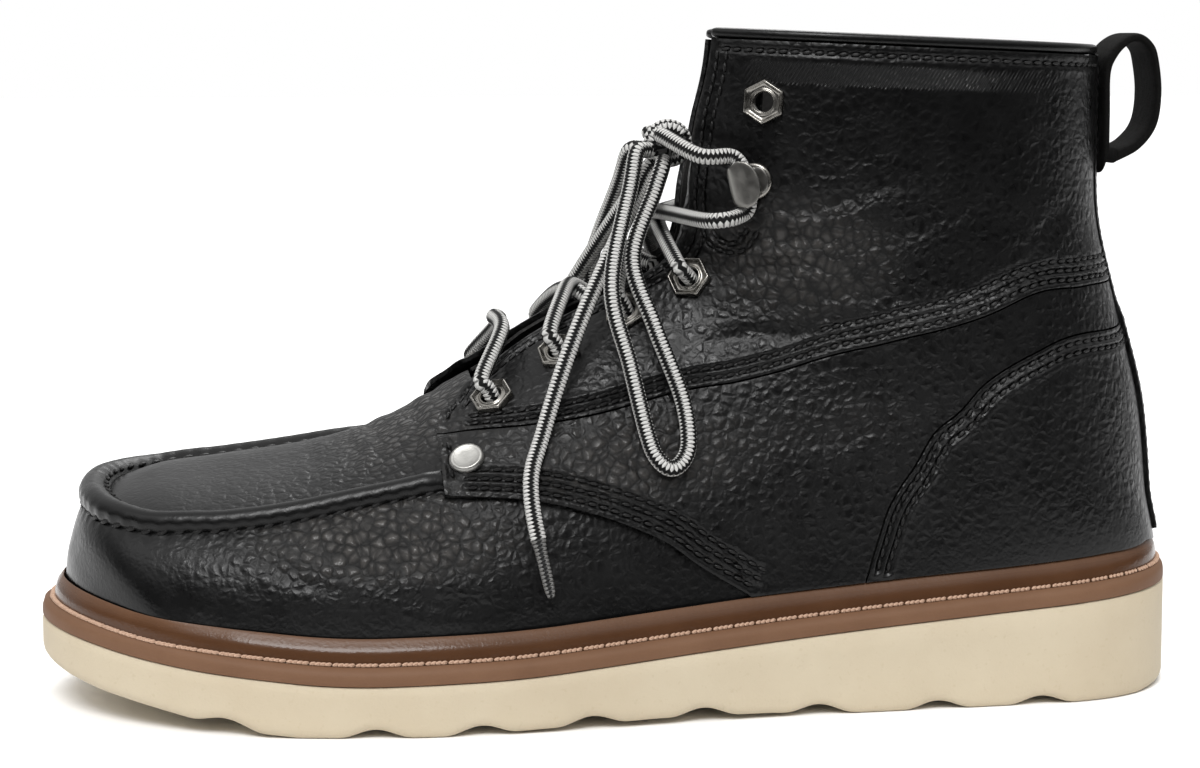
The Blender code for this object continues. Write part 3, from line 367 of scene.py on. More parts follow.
LEATHER = leather("black_leather", (0.0012, 0.0012, 0.0013), (0.0055, 0.0053, 0.0053), 0.29)
ROLLED = leather("rolled_leather", (0.0014, 0.0014, 0.0014), (0.006, 0.0058, 0.0058), 0.27, 1.4, 0.1)
LINING = leather("lining_leather", (0.012, 0.0115, 0.011), (0.03, 0.028, 0.026), 0.6, 1.3, 0.12)
print("leathers:", LEATHER.name, ROLLED.name, LINING.name)

# %% [markdown]
# The loop at the back is the flesh side of the leather, a dull nap with no grain. Fine hair would be lost
# at this size, so two scales of noise roughen it.

# %% Nap
nap = Mixer("black_nap")
fibre = nap.noise(1700.0, 4.0, rough=0.7)
nap.bump(nap.math("ADD", fibre, nap.noise(420.0, 2.0)), 0.0003)
fuzz_tone = nap.blend(fibre, (0.0015, 0.0015, 0.0015), (0.012, 0.0115, 0.011))
SUEDE = nap.set(Base_Color=fuzz_tone, Roughness=0.9, Specular_IOR_Level=0.08)
print("nap:", SUEDE.name)

# %% [markdown]
# The sole is a soft foamed rubber, cream and dull, with a faint mottle. The welt is a moulded brown
# strip, glossy on its bead and rubbed lighter and duller along the outer edge. Both get their mottle from
# noise, and the welt's rubbed part follows an attribute that its profile sets.


# %% Rubber and welt
def cream_rubber():
    mix = Mixer("cream_rubber")
    mottle = mix.ramp(mix.noise(28.0, 4.0, rough=0.6), 0.3, 0.7)
    speck = mix.ramp(mix.noise(700.0, 2.0), 0.62, 0.75)
    body = mix.blend(mottle, (0.5, 0.42, 0.3), (0.55, 0.475, 0.35))
    colour = mix.blend(mix.math("MULTIPLY", speck, 0.2), body, (0.38, 0.3, 0.19))
    mix.bump(mix.math("ADD", mix.noise(1500.0, 2.0), mix.noise(160.0, 2.0)), 0.00008)
    return mix.set(Base_Color=colour, Roughness=mix.ramp(mottle, 0.0, 1.0, 0.62, 0.72))


def brown_welt():
    mix = Mixer("brown_welt")
    edge = mix.attribute("edge")
    streak = mix.noise(55.0, 4.0, rough=0.6)
    bead = mix.blend(streak, (0.05, 0.021, 0.0095), (0.095, 0.043, 0.02))
    paler = mix.blend(streak, (0.125, 0.06, 0.03), (0.19, 0.1, 0.056))
    mix.bump(mix.math("ADD", mix.noise(1300.0, 2.0), mix.noise(120.0, 2.0)), 0.00006)
    rough = mix.math("ADD", mix.ramp(edge, 0.0, 1.0, 0.16, 0.6), mix.math("MULTIPLY", streak, 0.08))
    return mix.set(Base_Color=mix.blend(edge, bead, paler), Roughness=rough, Specular_IOR_Level=0.26)


CREAM, BROWN = cream_rubber(), brown_welt()
print("sole and welt:", CREAM.name, BROWN.name)

# %% [markdown]
# Eyelets, hooks and rivets are plated, a little smeared and finely scratched. Thread is a dull cord whose
# plies show as a fine bump. One recipe for each is enough, with its own colours for each use.


# %% Metal and thread
def metal(name, dark, light, rough):
    mix = Mixer(name)
    smear = mix.noise(380.0, 3.0)
    scratch = mix.ramp(mix.noise(2400.0, 2.0), 0.35, 0.65)
    mix.bump(scratch, 0.00001)
    gloss = mix.ramp(smear, 0.3, 0.7, rough, rough + 0.14)
    return mix.set(Base_Color=mix.blend(smear, dark, light), Roughness=gloss, Metallic=1.0)


def thread(name, dark, light, rough, shine):
    mix = Mixer(name)
    ply = mix.noise(2200.0, 2.0)
    mix.bump(ply, 0.00008)
    return mix.set(Base_Color=mix.blend(ply, dark, light), Roughness=rough, Specular_IOR_Level=shine)


NICKEL = metal("dark_nickel", (0.19, 0.181, 0.166), (0.38, 0.365, 0.336), 0.2)
SILVER = metal("bright_silver", (0.27, 0.266, 0.252), (0.42, 0.413, 0.393), 0.36)
STEEL = metal("brushed_steel", (0.16, 0.156, 0.146), (0.3, 0.292, 0.274), 0.3)
BLACK_THREAD = thread("black_thread", (0.003, 0.003, 0.003), (0.011, 0.0105, 0.0105), 0.48, 0.28)
WELT_THREAD = thread("welt_thread", (0.3, 0.175, 0.115), (0.66, 0.46, 0.34), 0.62, 0.2)
print("metals and threads:", NICKEL.name, SILVER.name, STEEL.name, BLACK_THREAD.name, WELT_THREAD.name)

# %% [markdown]
# The lace is a round braid of black and white yarns. Weaving real strands would cost far more faces than
# they show, so stripes follow the cord's own map: one direction of it runs round, the other along.

# %% Lace braid
STRIPES, WHITE_FROM, WHITE_FULL = 4.0, 0.2, 0.245


def lace_cord(name, low_white, high_white, rough):
    """Round braid: four white and four black stripes along it, with toothed edges and painted shade at the
    joints between strands.
    """
    mix = Mixer(name)
    uv = mix.node("ShaderNodeSeparateXYZ", {"Vector": mix.node("ShaderNodeTexCoord").outputs["UV"]})
    tooth = mix.math("PINGPONG", uv.outputs[1], 0.5)
    bite = mix.math("MULTIPLY", mix.math("SUBTRACT", tooth, 0.25), 0.55)
    lane = mix.math("FRACT", mix.math("ADD", mix.math("MULTIPLY", uv.outputs[0], STRIPES), bite))
    band = mix.math("ABSOLUTE", mix.math("SUBTRACT", lane, 0.5))
    white = mix.ramp(band, WHITE_FROM, WHITE_FULL)
    yarn = mix.math("COSINE", mix.math("MULTIPLY", uv.outputs[1], 2 * math.pi))
    # the white is painted darker at the joints between strands, where the bump dips: painted shade between
    # the yarns
    white = mix.math("MULTIPLY", white, mix.ramp(yarn, 0.25, 1.0, 1.0, 0.2))
    fuzz = mix.noise(2400.0, 3.0)
    pale = mix.blend(fuzz, low_white, high_white)
    dark = mix.blend(fuzz, (0.002, 0.002, 0.002), (0.009, 0.009, 0.009))
    ridge = mix.math("ADD", mix.math("MULTIPLY", yarn, -0.4), mix.math("ADD", fuzz, band))
    mix.bump(ridge, 0.00022)
    return mix.set(Base_Color=mix.blend(white, dark, pale), Roughness=rough, Specular_IOR_Level=0.2)


BRAID = lace_cord("lace_braid", (0.45, 0.447, 0.435), (0.8, 0.79, 0.765), 0.8)
SLEEVE_LOOK = lace_cord("lace_sleeve", (0.1, 0.1, 0.095), (0.24, 0.235, 0.23), 0.3)
print("lace:", BRAID.name, "and", SLEEVE_LOOK.name)

# %% [markdown]
# ## Laying a piece
# A panel is cut flat and then pulled over the last. In the same way a panel here starts as a flat grid
# and its points are moved onto the last. A Shrinkwrap modifier could pull it on as well, but would not
# hold a seam to its line. Then the sheet gets its thickness and a rounded cut edge.

# %% Grids, thickness and finish
SHIFT = np.array([0.0, 2.411505, 0.0])
WELD_WITHIN, SHARP, SMOOTH = 0.000002, math.radians(50), math.radians(55)


def choose(piece):
    """Selects one piece alone, because an operator acts on all that is selected."""
    bpy.ops.object.select_all(action="DESELECT")
    piece.select_set(True)
    bpy.context.view_layer.objects.active = piece


def lay(name, points, closed=False):
    """A flat grid whose rows and columns are moved to the given places, in millimetres."""
    rows, columns = points.shape[:2]
    bpy.ops.object.select_all(action="DESELECT")
    bpy.ops.mesh.primitive_grid_add(x_subdivisions=columns - 1, y_subdivisions=rows - 1, size=1)
    piece = bpy.context.object
    piece.name = piece.data.name = name
    piece.data.vertices.foreach_set("co", ((points + SHIFT) * MM).reshape(-1))
    piece.data.update()
    if closed:
        weld(piece)
    return piece


def weld(piece):
    """Joins edges that lie on each other, closes open ends and turns all faces outwards."""
    choose(piece)
    bpy.ops.object.mode_set(mode="EDIT")
    bpy.ops.mesh.select_all(action="SELECT")
    bpy.ops.mesh.remove_doubles(threshold=WELD_WITHIN)
    bpy.ops.mesh.fill_holes(sides=0)
    bpy.ops.mesh.normals_make_consistent(inside=False)
    bpy.ops.object.mode_set(mode="OBJECT")


def mark(piece, name, values):
    """A number on every point of a piece, which its material reads."""
    made = piece.data.attributes.new(name, "FLOAT", "POINT")
    made.data.foreach_set("value", np.broadcast_to(values, len(piece.data.vertices)).astype(np.float32))


def apply(piece, kind, **settings):
    choose(piece)
    modifier = piece.modifiers.new(kind.lower(), kind)
    for key, value in settings.items():
        setattr(modifier, key, value)
    bpy.ops.object.modifier_apply(modifier=modifier.name)


def thicken(piece, thickness, rim):
    """Gives a sheet its wall, inwards, and rounds the cut edge."""
    apply(piece, "SOLIDIFY", thickness=thickness * MM, offset=-1.0)
    if rim:
        apply(piece, "BEVEL", width=rim * MM, segments=3, limit_method="ANGLE", angle_limit=SHARP)


def settle(piece, look, slot, *nodes):
    """Smooth shading, finish, body and the solids that the piece stands for."""
    choose(piece)
    bpy.ops.object.shade_smooth_by_angle(angle=SMOOTH)
    piece.data.materials.clear()
    piece.data.materials.append(look)
    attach(piece, "root")
    if nodes:
        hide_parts(*nodes)
    print(piece.name, len(piece.data.polygons), "faces")
    return piece


print("pieces are moved by", SHIFT, "mm to lie on the frame")

# %% [markdown]
# ## Sole
# The wedge is thick at the heel and springs up at the toe, with a wave of low lugs under it. Its plan is
# a middle line with a half width, rounded off at both ends, and its top and bottom are two height lines.
# A traced curve could give the plan too, but from these the welt can be measured off the same edge.

# %% Outline and heights of the sole
SOLE_LENGTH = 304.0
# share of the length, middle line, half width
PLAN = np.array((
    (0.00, 5.0, 46.0), (0.10, 3.5, 50.0), (0.20, -0.2, 55.0), (0.30, -3.0, 56.3), (0.38, -4.6, 54.4),
    (0.46, -5.9, 50.2), (0.56, -6.0, 45.2), (0.66, -4.4, 42.6), (0.76, -2.5, 42.0), (0.88, -0.7, 41.0),
    (1.00, 0.0, 40.5),
))
SOLE_TOP = np.array((
    (-152.0, 23.0), (-120.0, 17.0), (-75.0, 12.8), (-30.0, 14.0), (20.0, 18.6), (75.0, 23.2),
    (120.0, 26.6), (152.0, 28.6),
))
BOTTOM = np.array((
    (-152.0, 13.2), (-144.0, 10.6), (-136.0, 8.5), (-128.0, 6.9), (-121.0, 5.5), (-113.0, 3.9),
    (-104.0, 2.2), (-95.0, 0.9), (-86.0, 0.0), (-50.0, 0.0), (-25.0, 0.9), (5.0, 1.7), (35.0, 1.2),
    (60.0, 0.0), (138.0, 0.0), (152.0, 1.6),
))
NOTCHES, NOTCH_HALF, LUG_DEPTH = (-104.0, -67.0, -40.5, -12.0, 17.5, 48.5, 80.5, 109.0), 9.5, 2.2
TOE_ROUND, HEEL_ROUND, ROUND_POWER, END_TRIM = 0.18, 0.14, 2.2, 0.0006


def calm(values, reach, **ends):
    """A running mean over a few neighbours on both sides."""
    width = 2 * reach + 1
    padded = np.pad(values, reach, **(ends or {"mode": "edge"}))
    return np.convolve(padded, np.ones(width) / width, mode="valid")


EVERY_MM = np.linspace(-SOLE_LENGTH / 2, SOLE_LENGTH / 2, 305)
TOP_LINE = calm(np.interp(EVERY_MM, *SOLE_TOP.T), 12, mode="reflect", reflect_type="odd")


def sole_top(x):
    return np.interp(x, EVERY_MM, TOP_LINE)


def tread(x):
    """Height of the bottom: toe spring, arch and the wave of lugs."""
    base = np.interp(x, *BOTTOM.T)
    for notch in NOTCHES:
        run = np.clip((x - notch) / NOTCH_HALF, -1, 1)
        base = base + LUG_DEPTH * np.cos(run * math.pi / 2) ** 2
    return base


def cap(run):
    return (1 - (1 - np.clip(run, 0, 1)) ** ROUND_POWER) ** (1 / ROUND_POWER)


def sole_outline(count, inset=0.0, crowd=0.35):
    """Plan of the sole moved inwards: from toe to heel on the outer side, then back."""
    even = np.linspace(0, 1, count)
    crowded = 0.5 - 0.5 * np.cos(math.pi * even)
    share = END_TRIM + (1 - 2 * END_TRIM) * ((1 - crowd) * even + crowd * crowded)
    rows = np.interp(share, PLAN[:, 0], range(len(PLAN)))
    middle, half = curve(PLAN[:, 1], rows), curve(PLAN[:, 2], rows)
    half = half * cap(share / TOE_ROUND) * cap((1 - share) / HEEL_ROUND)
    x = SOLE_LENGTH * (share - 0.5)
    ring = np.concatenate([np.stack([x, middle - half], 1), np.stack([x, middle + half], 1)[::-1]])
    tangent = np.roll(ring, -1, axis=0) - np.roll(ring, 1, axis=0)
    inward = np.stack([-tangent[:, 1], tangent[:, 0]], 1)
    return ring + inset * inward / np.linalg.norm(inward, axis=1, keepdims=True)


print("sole is", SOLE_LENGTH, "mm long and", np.ptp(sole_outline(90)[:, 1]).round(1), "mm wide")

# %% [markdown]
# The wedge itself is one block of soft rubber with a bevel round the tread. A box could be cut to this
# shape, but the wave would leave poor faces, so it is a row of cross sections from toe to heel, closer
# together at the round ends.

# %% Wedge sole
SOLE_RINGS = 300
# how far in from the edge, and height: share of the way from the top to the bottom, then millimetres
SIDE = ((0.5, 0.0, 0.0), (0.0, 0.0, -0.7), (0.0, 0.25, 0.0), (0.0, 0.5, 0.0), (0.0, 0.75, 0.0),
        (0.0, 1.0, 2.2), (0.25, 1.0, 1.0), (0.8, 1.0, 0.3), (1.6, 1.0, 0.0))
ACROSS = 12
edges = [sole_outline(SOLE_RINGS, inset, 0.6) for inset, _, _ in SIDE]
rings = []
for k in range(SOLE_RINGS):
    near, far = [], []
    for (inset, share, lift), edge in zip(SIDE, edges):
        for line, index in ((near, k), (far, 2 * SOLE_RINGS - 1 - k)):
            x, y = edge[index]
            top, low = float(sole_top(x)), float(tread(x))
            line.append((x, y, top + (low - top) * share + lift))
    shares = np.linspace(0, 1, ACROSS)[1:-1, None]
    under = np.array(near[-1]) + shares * (np.array(far[-1]) - near[-1])
    over = np.array(far[0]) + shares * (np.array(near[0]) - far[0])
    rings.append(np.concatenate([near, under, far[::-1], over, near[:1]]))
outsole = lay("wedge_sole", np.array(rings), closed=True)
settle(outsole, CREAM, "sole", "outsole")

# %% [markdown]
# ## Welt
# The storm welt is a moulded strip with a rounded lip, a groove for the stitching and a bead that leans
# on the leather. A bevelled curve would give it one width all round, but the leather is nearer in some
# places. So at each place of the sole's edge a ray is cast inwards to find how far the leather is, and
# the profile is stretched over that way.

# %% Storm welt
WELT_RINGS, WELT_CROWD = 260, 0.75
# share of the way in to the leather, height over the sole, how rubbed it is
WELT_PROFILE = np.array((
    (0.01, 0.25, 1.0), (0.0, 0.8, 1.0), (0.0, 1.8, 1.0), (0.012, 2.6, 1.0), (0.045, 3.3, 1.0),
    (0.1, 3.8, 1.0), (0.19, 4.25, 1.0), (0.29, 4.6, 0.95), (0.37, 4.8, 0.85), (0.41, 4.72, 0.6),
    (0.44, 4.35, 0.3), (0.48, 4.15, 0.15), (0.52, 4.35, 0.1), (0.54, 4.95, 0.05), (0.552, 5.7, 0.0),
    (0.564, 6.5, 0.0), (0.578, 7.2, 0.0), (0.598, 7.85, 0.0), (0.63, 8.45, 0.0), (0.675, 8.95, 0.05),
    (0.73, 9.45, 0.15), (0.79, 9.95, 0.25), (0.85, 10.5, 0.35), (0.905, 11.0, 0.4), (0.95, 11.25, 0.35),
    (0.985, 10.9, 0.25), (1.0, 10.2, 0.1), (1.0, 0.25, 0.0),
))
STITCH_INSET, STITCH_HEIGHT = 0.455, 4.85
FOOT_HEIGHT, BEAD_HEIGHT, INTO_LEATHER = 2.0, 10.5, 0.35


def tree_of(grid):
    """A tree of a grid's faces, into which rays can be cast."""
    rows, columns = grid.shape[:2]
    corners = [tuple(point) for point in grid.reshape(-1, 3)]
    starts = [k * columns + j for k, j in np.ndindex(rows - 1, columns - 1)]
    return BVHTree.FromPolygons(corners, [(a, a + 1, a + columns + 1, a + columns) for a in starts])


LAST_TREE = tree_of(LAST[::3, ::3])


def wall_places(height, rings=WELT_RINGS):
    """Points of the last at a height over the sole, straight in from each place of the outline."""
    outer = sole_outline(rings, 0.0, WELT_CROWD)
    inward = sole_outline(rings, 1.0, WELT_CROWD) - outer
    ways = []
    for (x, y), (in_x, in_y) in zip(outer, inward):
        hit = LAST_TREE.ray_cast(Vector((x, y, float(sole_top(x)) + height)), Vector((in_x, in_y, 0)))
        ways.append(hit[3] if hit[0] else np.nan)
    ways = np.array(ways)
    ways = np.where(np.isnan(ways), np.nanmedian(ways), ways)
    return outer, inward, sum(np.roll(ways, step) for step in range(-3, 4)) / 7


outer, inward, low_way = wall_places(FOOT_HEIGHT)
_, _, high_way = wall_places(BEAD_HEIGHT)
depth = np.minimum(low_way, high_way) - INTO_LEATHER
rings = []
for share, height, _ in WELT_PROFILE:
    flat = outer + inward * (depth * share)[:, None]
    rings.append(np.column_stack([flat, sole_top(flat[:, 0]) + height]))
rings = np.array(rings + rings[:1])
rings = np.concatenate([rings, rings[:, :1]], axis=1)
welt = lay("storm_welt", rings)
mark(welt, "edge", np.repeat(np.append(WELT_PROFILE[:, 2], 1.0), rings.shape[1]))
weld(welt)
settle(welt, BROWN, "welt", "welt")
flat = outer + inward * (depth * STITCH_INSET)[:, None]
WELT_STITCH_LINE = np.column_stack([flat, sole_top(flat[:, 0]) + STITCH_HEIGHT])

# %% [markdown]
# ## Stitches
# A stitch is one short, round piece of thread that dives into the leather at both ends. It is modelled
# once, from a small ball that is pulled long, and then copied along each seam. Instances would be lighter,
# but a seam has to be a real mesh here, so the ball has only a few faces.

# %% One stitch, copied along seams
bpy.ops.object.select_all(action="DESELECT")
bpy.ops.mesh.primitive_uv_sphere_add(segments=6, ring_count=5, radius=1.0)
ball = bpy.context.object
STITCH_POINTS = np.array([vertex.co[:] for vertex in ball.data.vertices])[:, [2, 0, 1]]
STITCH_FACES = [list(face.vertices) for face in ball.data.polygons]
bpy.data.objects.remove(ball)


def unit(vectors):
    return vectors / np.maximum(np.linalg.norm(vectors, axis=-1, keepdims=True), 1e-9)


def sew(name, rows, look, slot, pitch, length, wide, slant, lift=0.0):
    """Stitches along rows of points, each row with the ways out of the leather beside it."""
    shapes = []
    for points, outs in rows:
        line = spread(np.concatenate([points, outs], 1), step=pitch / 2)
        centre, out = line[1::2, :3], unit(line[1::2, 3:])
        if len(centre) < 2:
            continue
        ahead = unit(np.gradient(line[:, :3], axis=0)[1::2])
        aside = unit(np.cross(out, ahead))
        ahead = unit(ahead + slant * aside)
        aside = np.cross(out, ahead)
        way = np.stack([ahead * length / 2, aside * wide, out * wide], 1)
        shapes.append(np.einsum("pk,nkc->npc", STITCH_POINTS, way) + (centre + lift * out)[:, None])
    points = np.concatenate(shapes).reshape(-1, 3)
    starts = range(0, len(points), len(STITCH_POINTS))
    faces = [[corner + start for corner in face] for start in starts for face in STITCH_FACES]
    data = bpy.data.meshes.new(name)
    data.from_pydata(((points + SHIFT) * MM).tolist(), [], faces)
    piece = bpy.data.objects.new(name, data)
    bpy.context.scene.collection.objects.link(piece)
    weld(piece)
    return settle(piece, look, slot)


print("one stitch has", len(STITCH_FACES), "faces")

# %% [markdown]
# The thread on the welt is thick and twisted, and lies in its groove with a small gap between stitches.
# A twisted rope could be swept for each; here a stitch is a short run of slanting plies, made by the same
# function as the fine stitches.

# %% Stitches on the welt
WELT_PITCH, PLY_POINTS = 5.8, 10
closed_line = np.vstack([WELT_STITCH_LINE, WELT_STITCH_LINE[:1]])
stitches = round(float(run_of(closed_line)[-1]) / WELT_PITCH)
line = spread(closed_line, stitches * PLY_POINTS + 1)
upright = np.tile((0.0, 0.0, 1.0), (PLY_POINTS, 1))
runs = [(line[k : k + PLY_POINTS], upright) for k in range(0, len(line) - 1, PLY_POINTS)]
sew("welt_stitches", runs, WELT_THREAD, "welt", pitch=1.3, length=2.2, wide=0.56, slant=0.75, lift=0.32)

# %% [markdown]
# ## Seams of the upper
# The seams were read from the side of the boot. Each becomes a run of places on the last, and rows of
# stitches are the same run moved sideways over the surface. Curves in space could be moved too, but they
# would leave the leather where it bends.

# %% Runs of places
SLOPE_STATION, SLOPE_TURN, LONGEST_MOVE = 0.04, 0.004, 1.2


def trace(places, steps=24):
    """A smooth, close run of places through the given ones."""
    places = np.asarray(places, float)
    return curve(places, np.linspace(0, len(places) - 1, (len(places) - 1) * steps + 1))


def even(places, count):
    """The same run with evenly spaced places."""
    solid = on_last(places[:, 0], -places[:, 1])
    return spread(np.concatenate([solid, places], 1), count)[:, 3:]


def step_for(station, turn, move):
    """The step in station and turn that comes closest to a move in space."""
    onward = on_last(station + SLOPE_STATION, turn) - on_last(station - SLOPE_STATION, turn)
    across = on_last(station, turn + SLOPE_TURN) - on_last(station, turn - SLOPE_TURN)
    onward, across = onward / (2 * SLOPE_STATION), across / (2 * SLOPE_TURN)
    a, b, c = (onward**2).sum(1), (onward * across).sum(1), (across**2).sum(1)
    p, q = (onward * move).sum(1), (across * move).sum(1)
    size = np.maximum(a * c - b * b, 1e-6)
    return (p * c - q * b) / size, (a * q - b * p) / size


def aside(places, distance):
    """A run moved to the left of its own direction, seen from outside."""
    places = np.array(places)
    steps = int(abs(distance) / LONGEST_MOVE) + 1
    for _ in range(steps):
        station, share = places.T
        here = on_last(station, -share)
        sideways = np.cross(way_out(station, -share), unit(np.gradient(here, axis=0))) * distance / steps
        onward, across = step_for(station, -share, sideways)
        places = places + np.stack([onward, -across], 1)
        places[:, 1] = np.minimum(places[:, 1], 1.0)
    return places


HEEL_STATION = 13
BACK_Z = LAST[HEEL_STATION * ROWS_PER_STATION :, 0, 2]


def at_back(z):
    """The place on the back line of the boot at a height."""
    return HEEL_STATION + np.interp(z, BACK_Z, np.arange(len(BACK_Z)) / ROWS_PER_STATION), 1.0


print("back line starts at height", BACK_Z[0].round(1))

# %% Seam lines, eyelets and throat
BEAD = 11.3
EYESTAY_FRONT = find(((-38.6, 83.2), (-42.2, 79.5), (-46.4, 75.8), (-48.2, 71.6)))
QUARTER_FRONT = find(((-48.2, 70.6), (-47.6, 66.0), (-47.9, 57.9)))
QUARTER_LOWER = find(((-47.9, 57.9), (-26.6, 56.9), (-9.0, 52.8), (6.8, 46.4), (17.0, 39.3), (30.0, 31.4)))
shaft_points = ((-48.2, 71.1), (-25.5, 74.5), (-7.6, 77.4), (24.2, 84.5), (60.8, 94.1), (100.0, 105.1),
                (121.4, 108.8))
SHAFT_SEAM = np.vstack([find(shaft_points), at_back(111.0)])
counter_points = ((61.3, 33.4), (64.2, 42.5), (68.2, 53.6), (74.1, 62.5), (81.8, 73.8), (92.4, 84.1),
                  (106.0, 92.0), (121.2, 96.6))
COUNTER_SEAM = np.vstack([find(counter_points), at_back(100.6)])
bead_x = np.linspace(30.0, 61.3, 6)
QUARTER_BEAD = find(np.column_stack([bead_x, sole_top(bead_x) + BEAD]))
EYELETS = ((-33.7, 80.2), (-15.9, 91.5), (2.0, 101.8), (18.9, 111.0), (36.4, 157.8))
EYELET_SPOTS = find(EYELETS)
# two arcs of stitches below the hook
NOTCH_ROWS = [trace(find(places)) for places in (
    ((22.5, 124.8), (24.0, 120.8), (28.2, 118.6), (32.6, 119.8), (35.0, 123.6)),
    ((24.9, 124.9), (26.0, 122.4), (28.4, 121.0), (31.0, 121.9), (32.7, 124.6)),
)]
# half width of the throat over height
THROAT = np.array((
    (0.8, 84.2), (6.5, 85.5), (8.3, 90.0), (8.8, 103.0), (10.2, 112.0), (14.2, 120.0), (14.8, 135.0),
    (17.8, 150.0), (19.4, 163.0), (20.4, 190.0),
))
# the inner side stands a little further back, from the first height to the second
INNER_BACK, INNER_HEIGHTS = 4.5, (122, 150)


def throat_share(station, side):
    """How far down from the top line the throat is open at each station."""
    shares = np.linspace(0, 0.4, 161)
    points = on_last(*np.broadcast_arrays(np.asarray(station)[:, None], side * shares[None]))
    half = np.interp(points[..., 2], THROAT[:, 1], THROAT[:, 0])
    half = half + (side > 0) * np.interp(points[..., 2], INNER_HEIGHTS, (0.0, INNER_BACK))
    open_here = np.abs(points[..., 1]) < half
    return shares[open_here.sum(1)]


print("seams found:", len(SHAFT_SEAM), "places on the shaft seam")

# %% [markdown]
# ## Creases and grain
# Walking has pressed soft folds into the leather below the front of the quarter and round the ankle.
# They could be sculpted with a brush; placed as runs in the side view, with a depth and a width, they go
# through every panel that they cross. The grain follows a few zones in the same way: strong over the
# flex, weak on the toe and along the top.

# %% Creases and grain zones
# start x z, middle x z, end x z, depth, width
CREASES = np.array((
    (-84, 50, -74, 42, -62, 38, 0.55, 2.2), (-72, 52, -64, 44, -52, 39, 0.7, 2.4),
    (-58, 54, -54, 47, -44, 41, 0.6, 2.2), (-97, 45, -88, 39, -76, 36, 0.35, 2.4),
    (-62, 36, -50, 32, -36, 31, 0.4, 2.4), (-40, 50, -30, 44, -18, 42, 0.4, 2.2),
    (-6, 72, 2, 66, 6, 59, 0.45, 2.0), (4, 76, 11, 69, 15, 61, 0.45, 2.0),
    (-20, 70, -14, 65, -11, 60, 0.35, 1.8),
    (26, 112, 38, 116, 52, 116, 0.8, 2.3), (27, 121, 40, 124, 56, 121, 0.85, 2.4),
    (38, 130, 54, 131, 72, 139, 0.65, 2.6), (44, 108, 56, 110, 70, 107, 0.55, 2.4),
    (60, 122, 74, 124, 92, 133, 0.4, 3.0), (98, 115, 108, 121, 118, 131, 0.4, 2.6),
    (22, 96, 34, 99, 48, 98, 0.6, 2.2), (40, 72, 54, 70, 66, 74, 0.35, 3.0),
    (-57, 74, -54, 77, -50, 80, 0.3, 1.6), (-63, 71, -60, 74, -56, 77, 0.25, 1.6),
))
# middle x z, reach x z, how much stronger the grain is there
# where the grain is strong the leather's pebble tops are also painted lighter: a painted highlight
GRAIN = np.array((
    (-64, 48, 32, 12, 0.85), (0, 67, 28, 11, 0.62), (44, 118, 26, 16, 0.62), (62, 76, 42, 14, 0.22),
    (-52, 74, 22, 10, 0.3), (-132, 42, 22, 40, -0.3), (80, 158, 62, 16, -0.12), (110, 60, 30, 40, -0.1),
))
PLAIN_GRAIN, LEAST_GRAIN, MOST_GRAIN = 0.34, 0.04, 1.15
# over the welt the grain is pulled flat: how much of it is left, from which height and over which reach
LOW_GRAIN, LOW_FROM, LOW_REACH = 0.2, 12, 16
CREASE_STEPS, BANK, BANK_AT = 15, 0.45, 1.7
PULL, PULL_REACH = 0.6, 0.75
PUFF, PUFF_AT, PUFF_REACH = 0.28, 1.3, 0.65


def crease_depth(points):
    """How deep the creases press in at each point, with a soft bank along both sides."""
    total = np.zeros(points.shape[:-1])
    flat = points[..., [0, 2]]
    t = np.linspace(0, 1, CREASE_STEPS)[:, None]
    for row in CREASES:
        ends = row[0:2] * (1 - t) ** 2 + 2 * row[2:4] * t * (1 - t) + row[4:6] * t**2
        gap = np.linalg.norm(flat[..., None, :] - ends, axis=-1)
        nearest = gap.argmin(-1)
        fade = np.sin(math.pi * np.clip((nearest + 0.5) / CREASE_STEPS, 0, 1)) ** 0.6
        run = gap.min(-1) / row[7]
        total += row[6] * fade * (np.exp(-(run**2)) - BANK * np.exp(-((run - BANK_AT) ** 2)))
    return total


def grain_at(points):
    """How strongly the grain stands at each point."""
    x, z = points[..., 0], points[..., 2]
    total = np.full(x.shape, PLAIN_GRAIN)
    for zone_x, zone_z, reach_x, reach_z, more in GRAIN:
        total += more * np.exp(-(((x - zone_x) / reach_x) ** 2) - ((z - zone_z) / reach_z) ** 2)
    low = np.clip((z - sole_top(x) - LOW_FROM) / LOW_REACH, 0, 1)
    return np.clip(total, LEAST_GRAIN, MOST_GRAIN) * (LOW_GRAIN + (1 - LOW_GRAIN) * low)


def trough(points, rows):
    """Leather pulled down along rows of stitches, and puffed a little beside them."""
    total = np.zeros(points.shape[:-1])
    flat = points.reshape(-1, 3)
    for line, _ in rows:
        gap = np.full(len(flat), FAR)
        for start in range(0, len(line), 40):
            part = np.linalg.norm(flat[:, None] - line[None, start : start + 40], axis=2).min(1)
            gap = np.minimum(gap, part)
        gap = gap.reshape(total.shape)
        total += PUFF * np.exp(-(((gap - PUFF_AT) / PUFF_REACH) ** 2))
        total -= PULL * np.exp(-((gap / PULL_REACH) ** 2))
    return total


print("creases:", len(CREASES), "grain zones:", len(GRAIN))

# %% [markdown]
# ## Panels of the upper
# Quarter, shaft and counter lie on the wall of the upper. A panel could be cut out of the last with a
# knife, but its faces would not run along its edges. So the places between its edges are blended from
# edge to edge, and the grid follows the cut of the panel.

# %% Blending a panel between its edges
PANEL_LIFT, PANEL_WALL, SLOT = 1.6, 1.3, 11.3


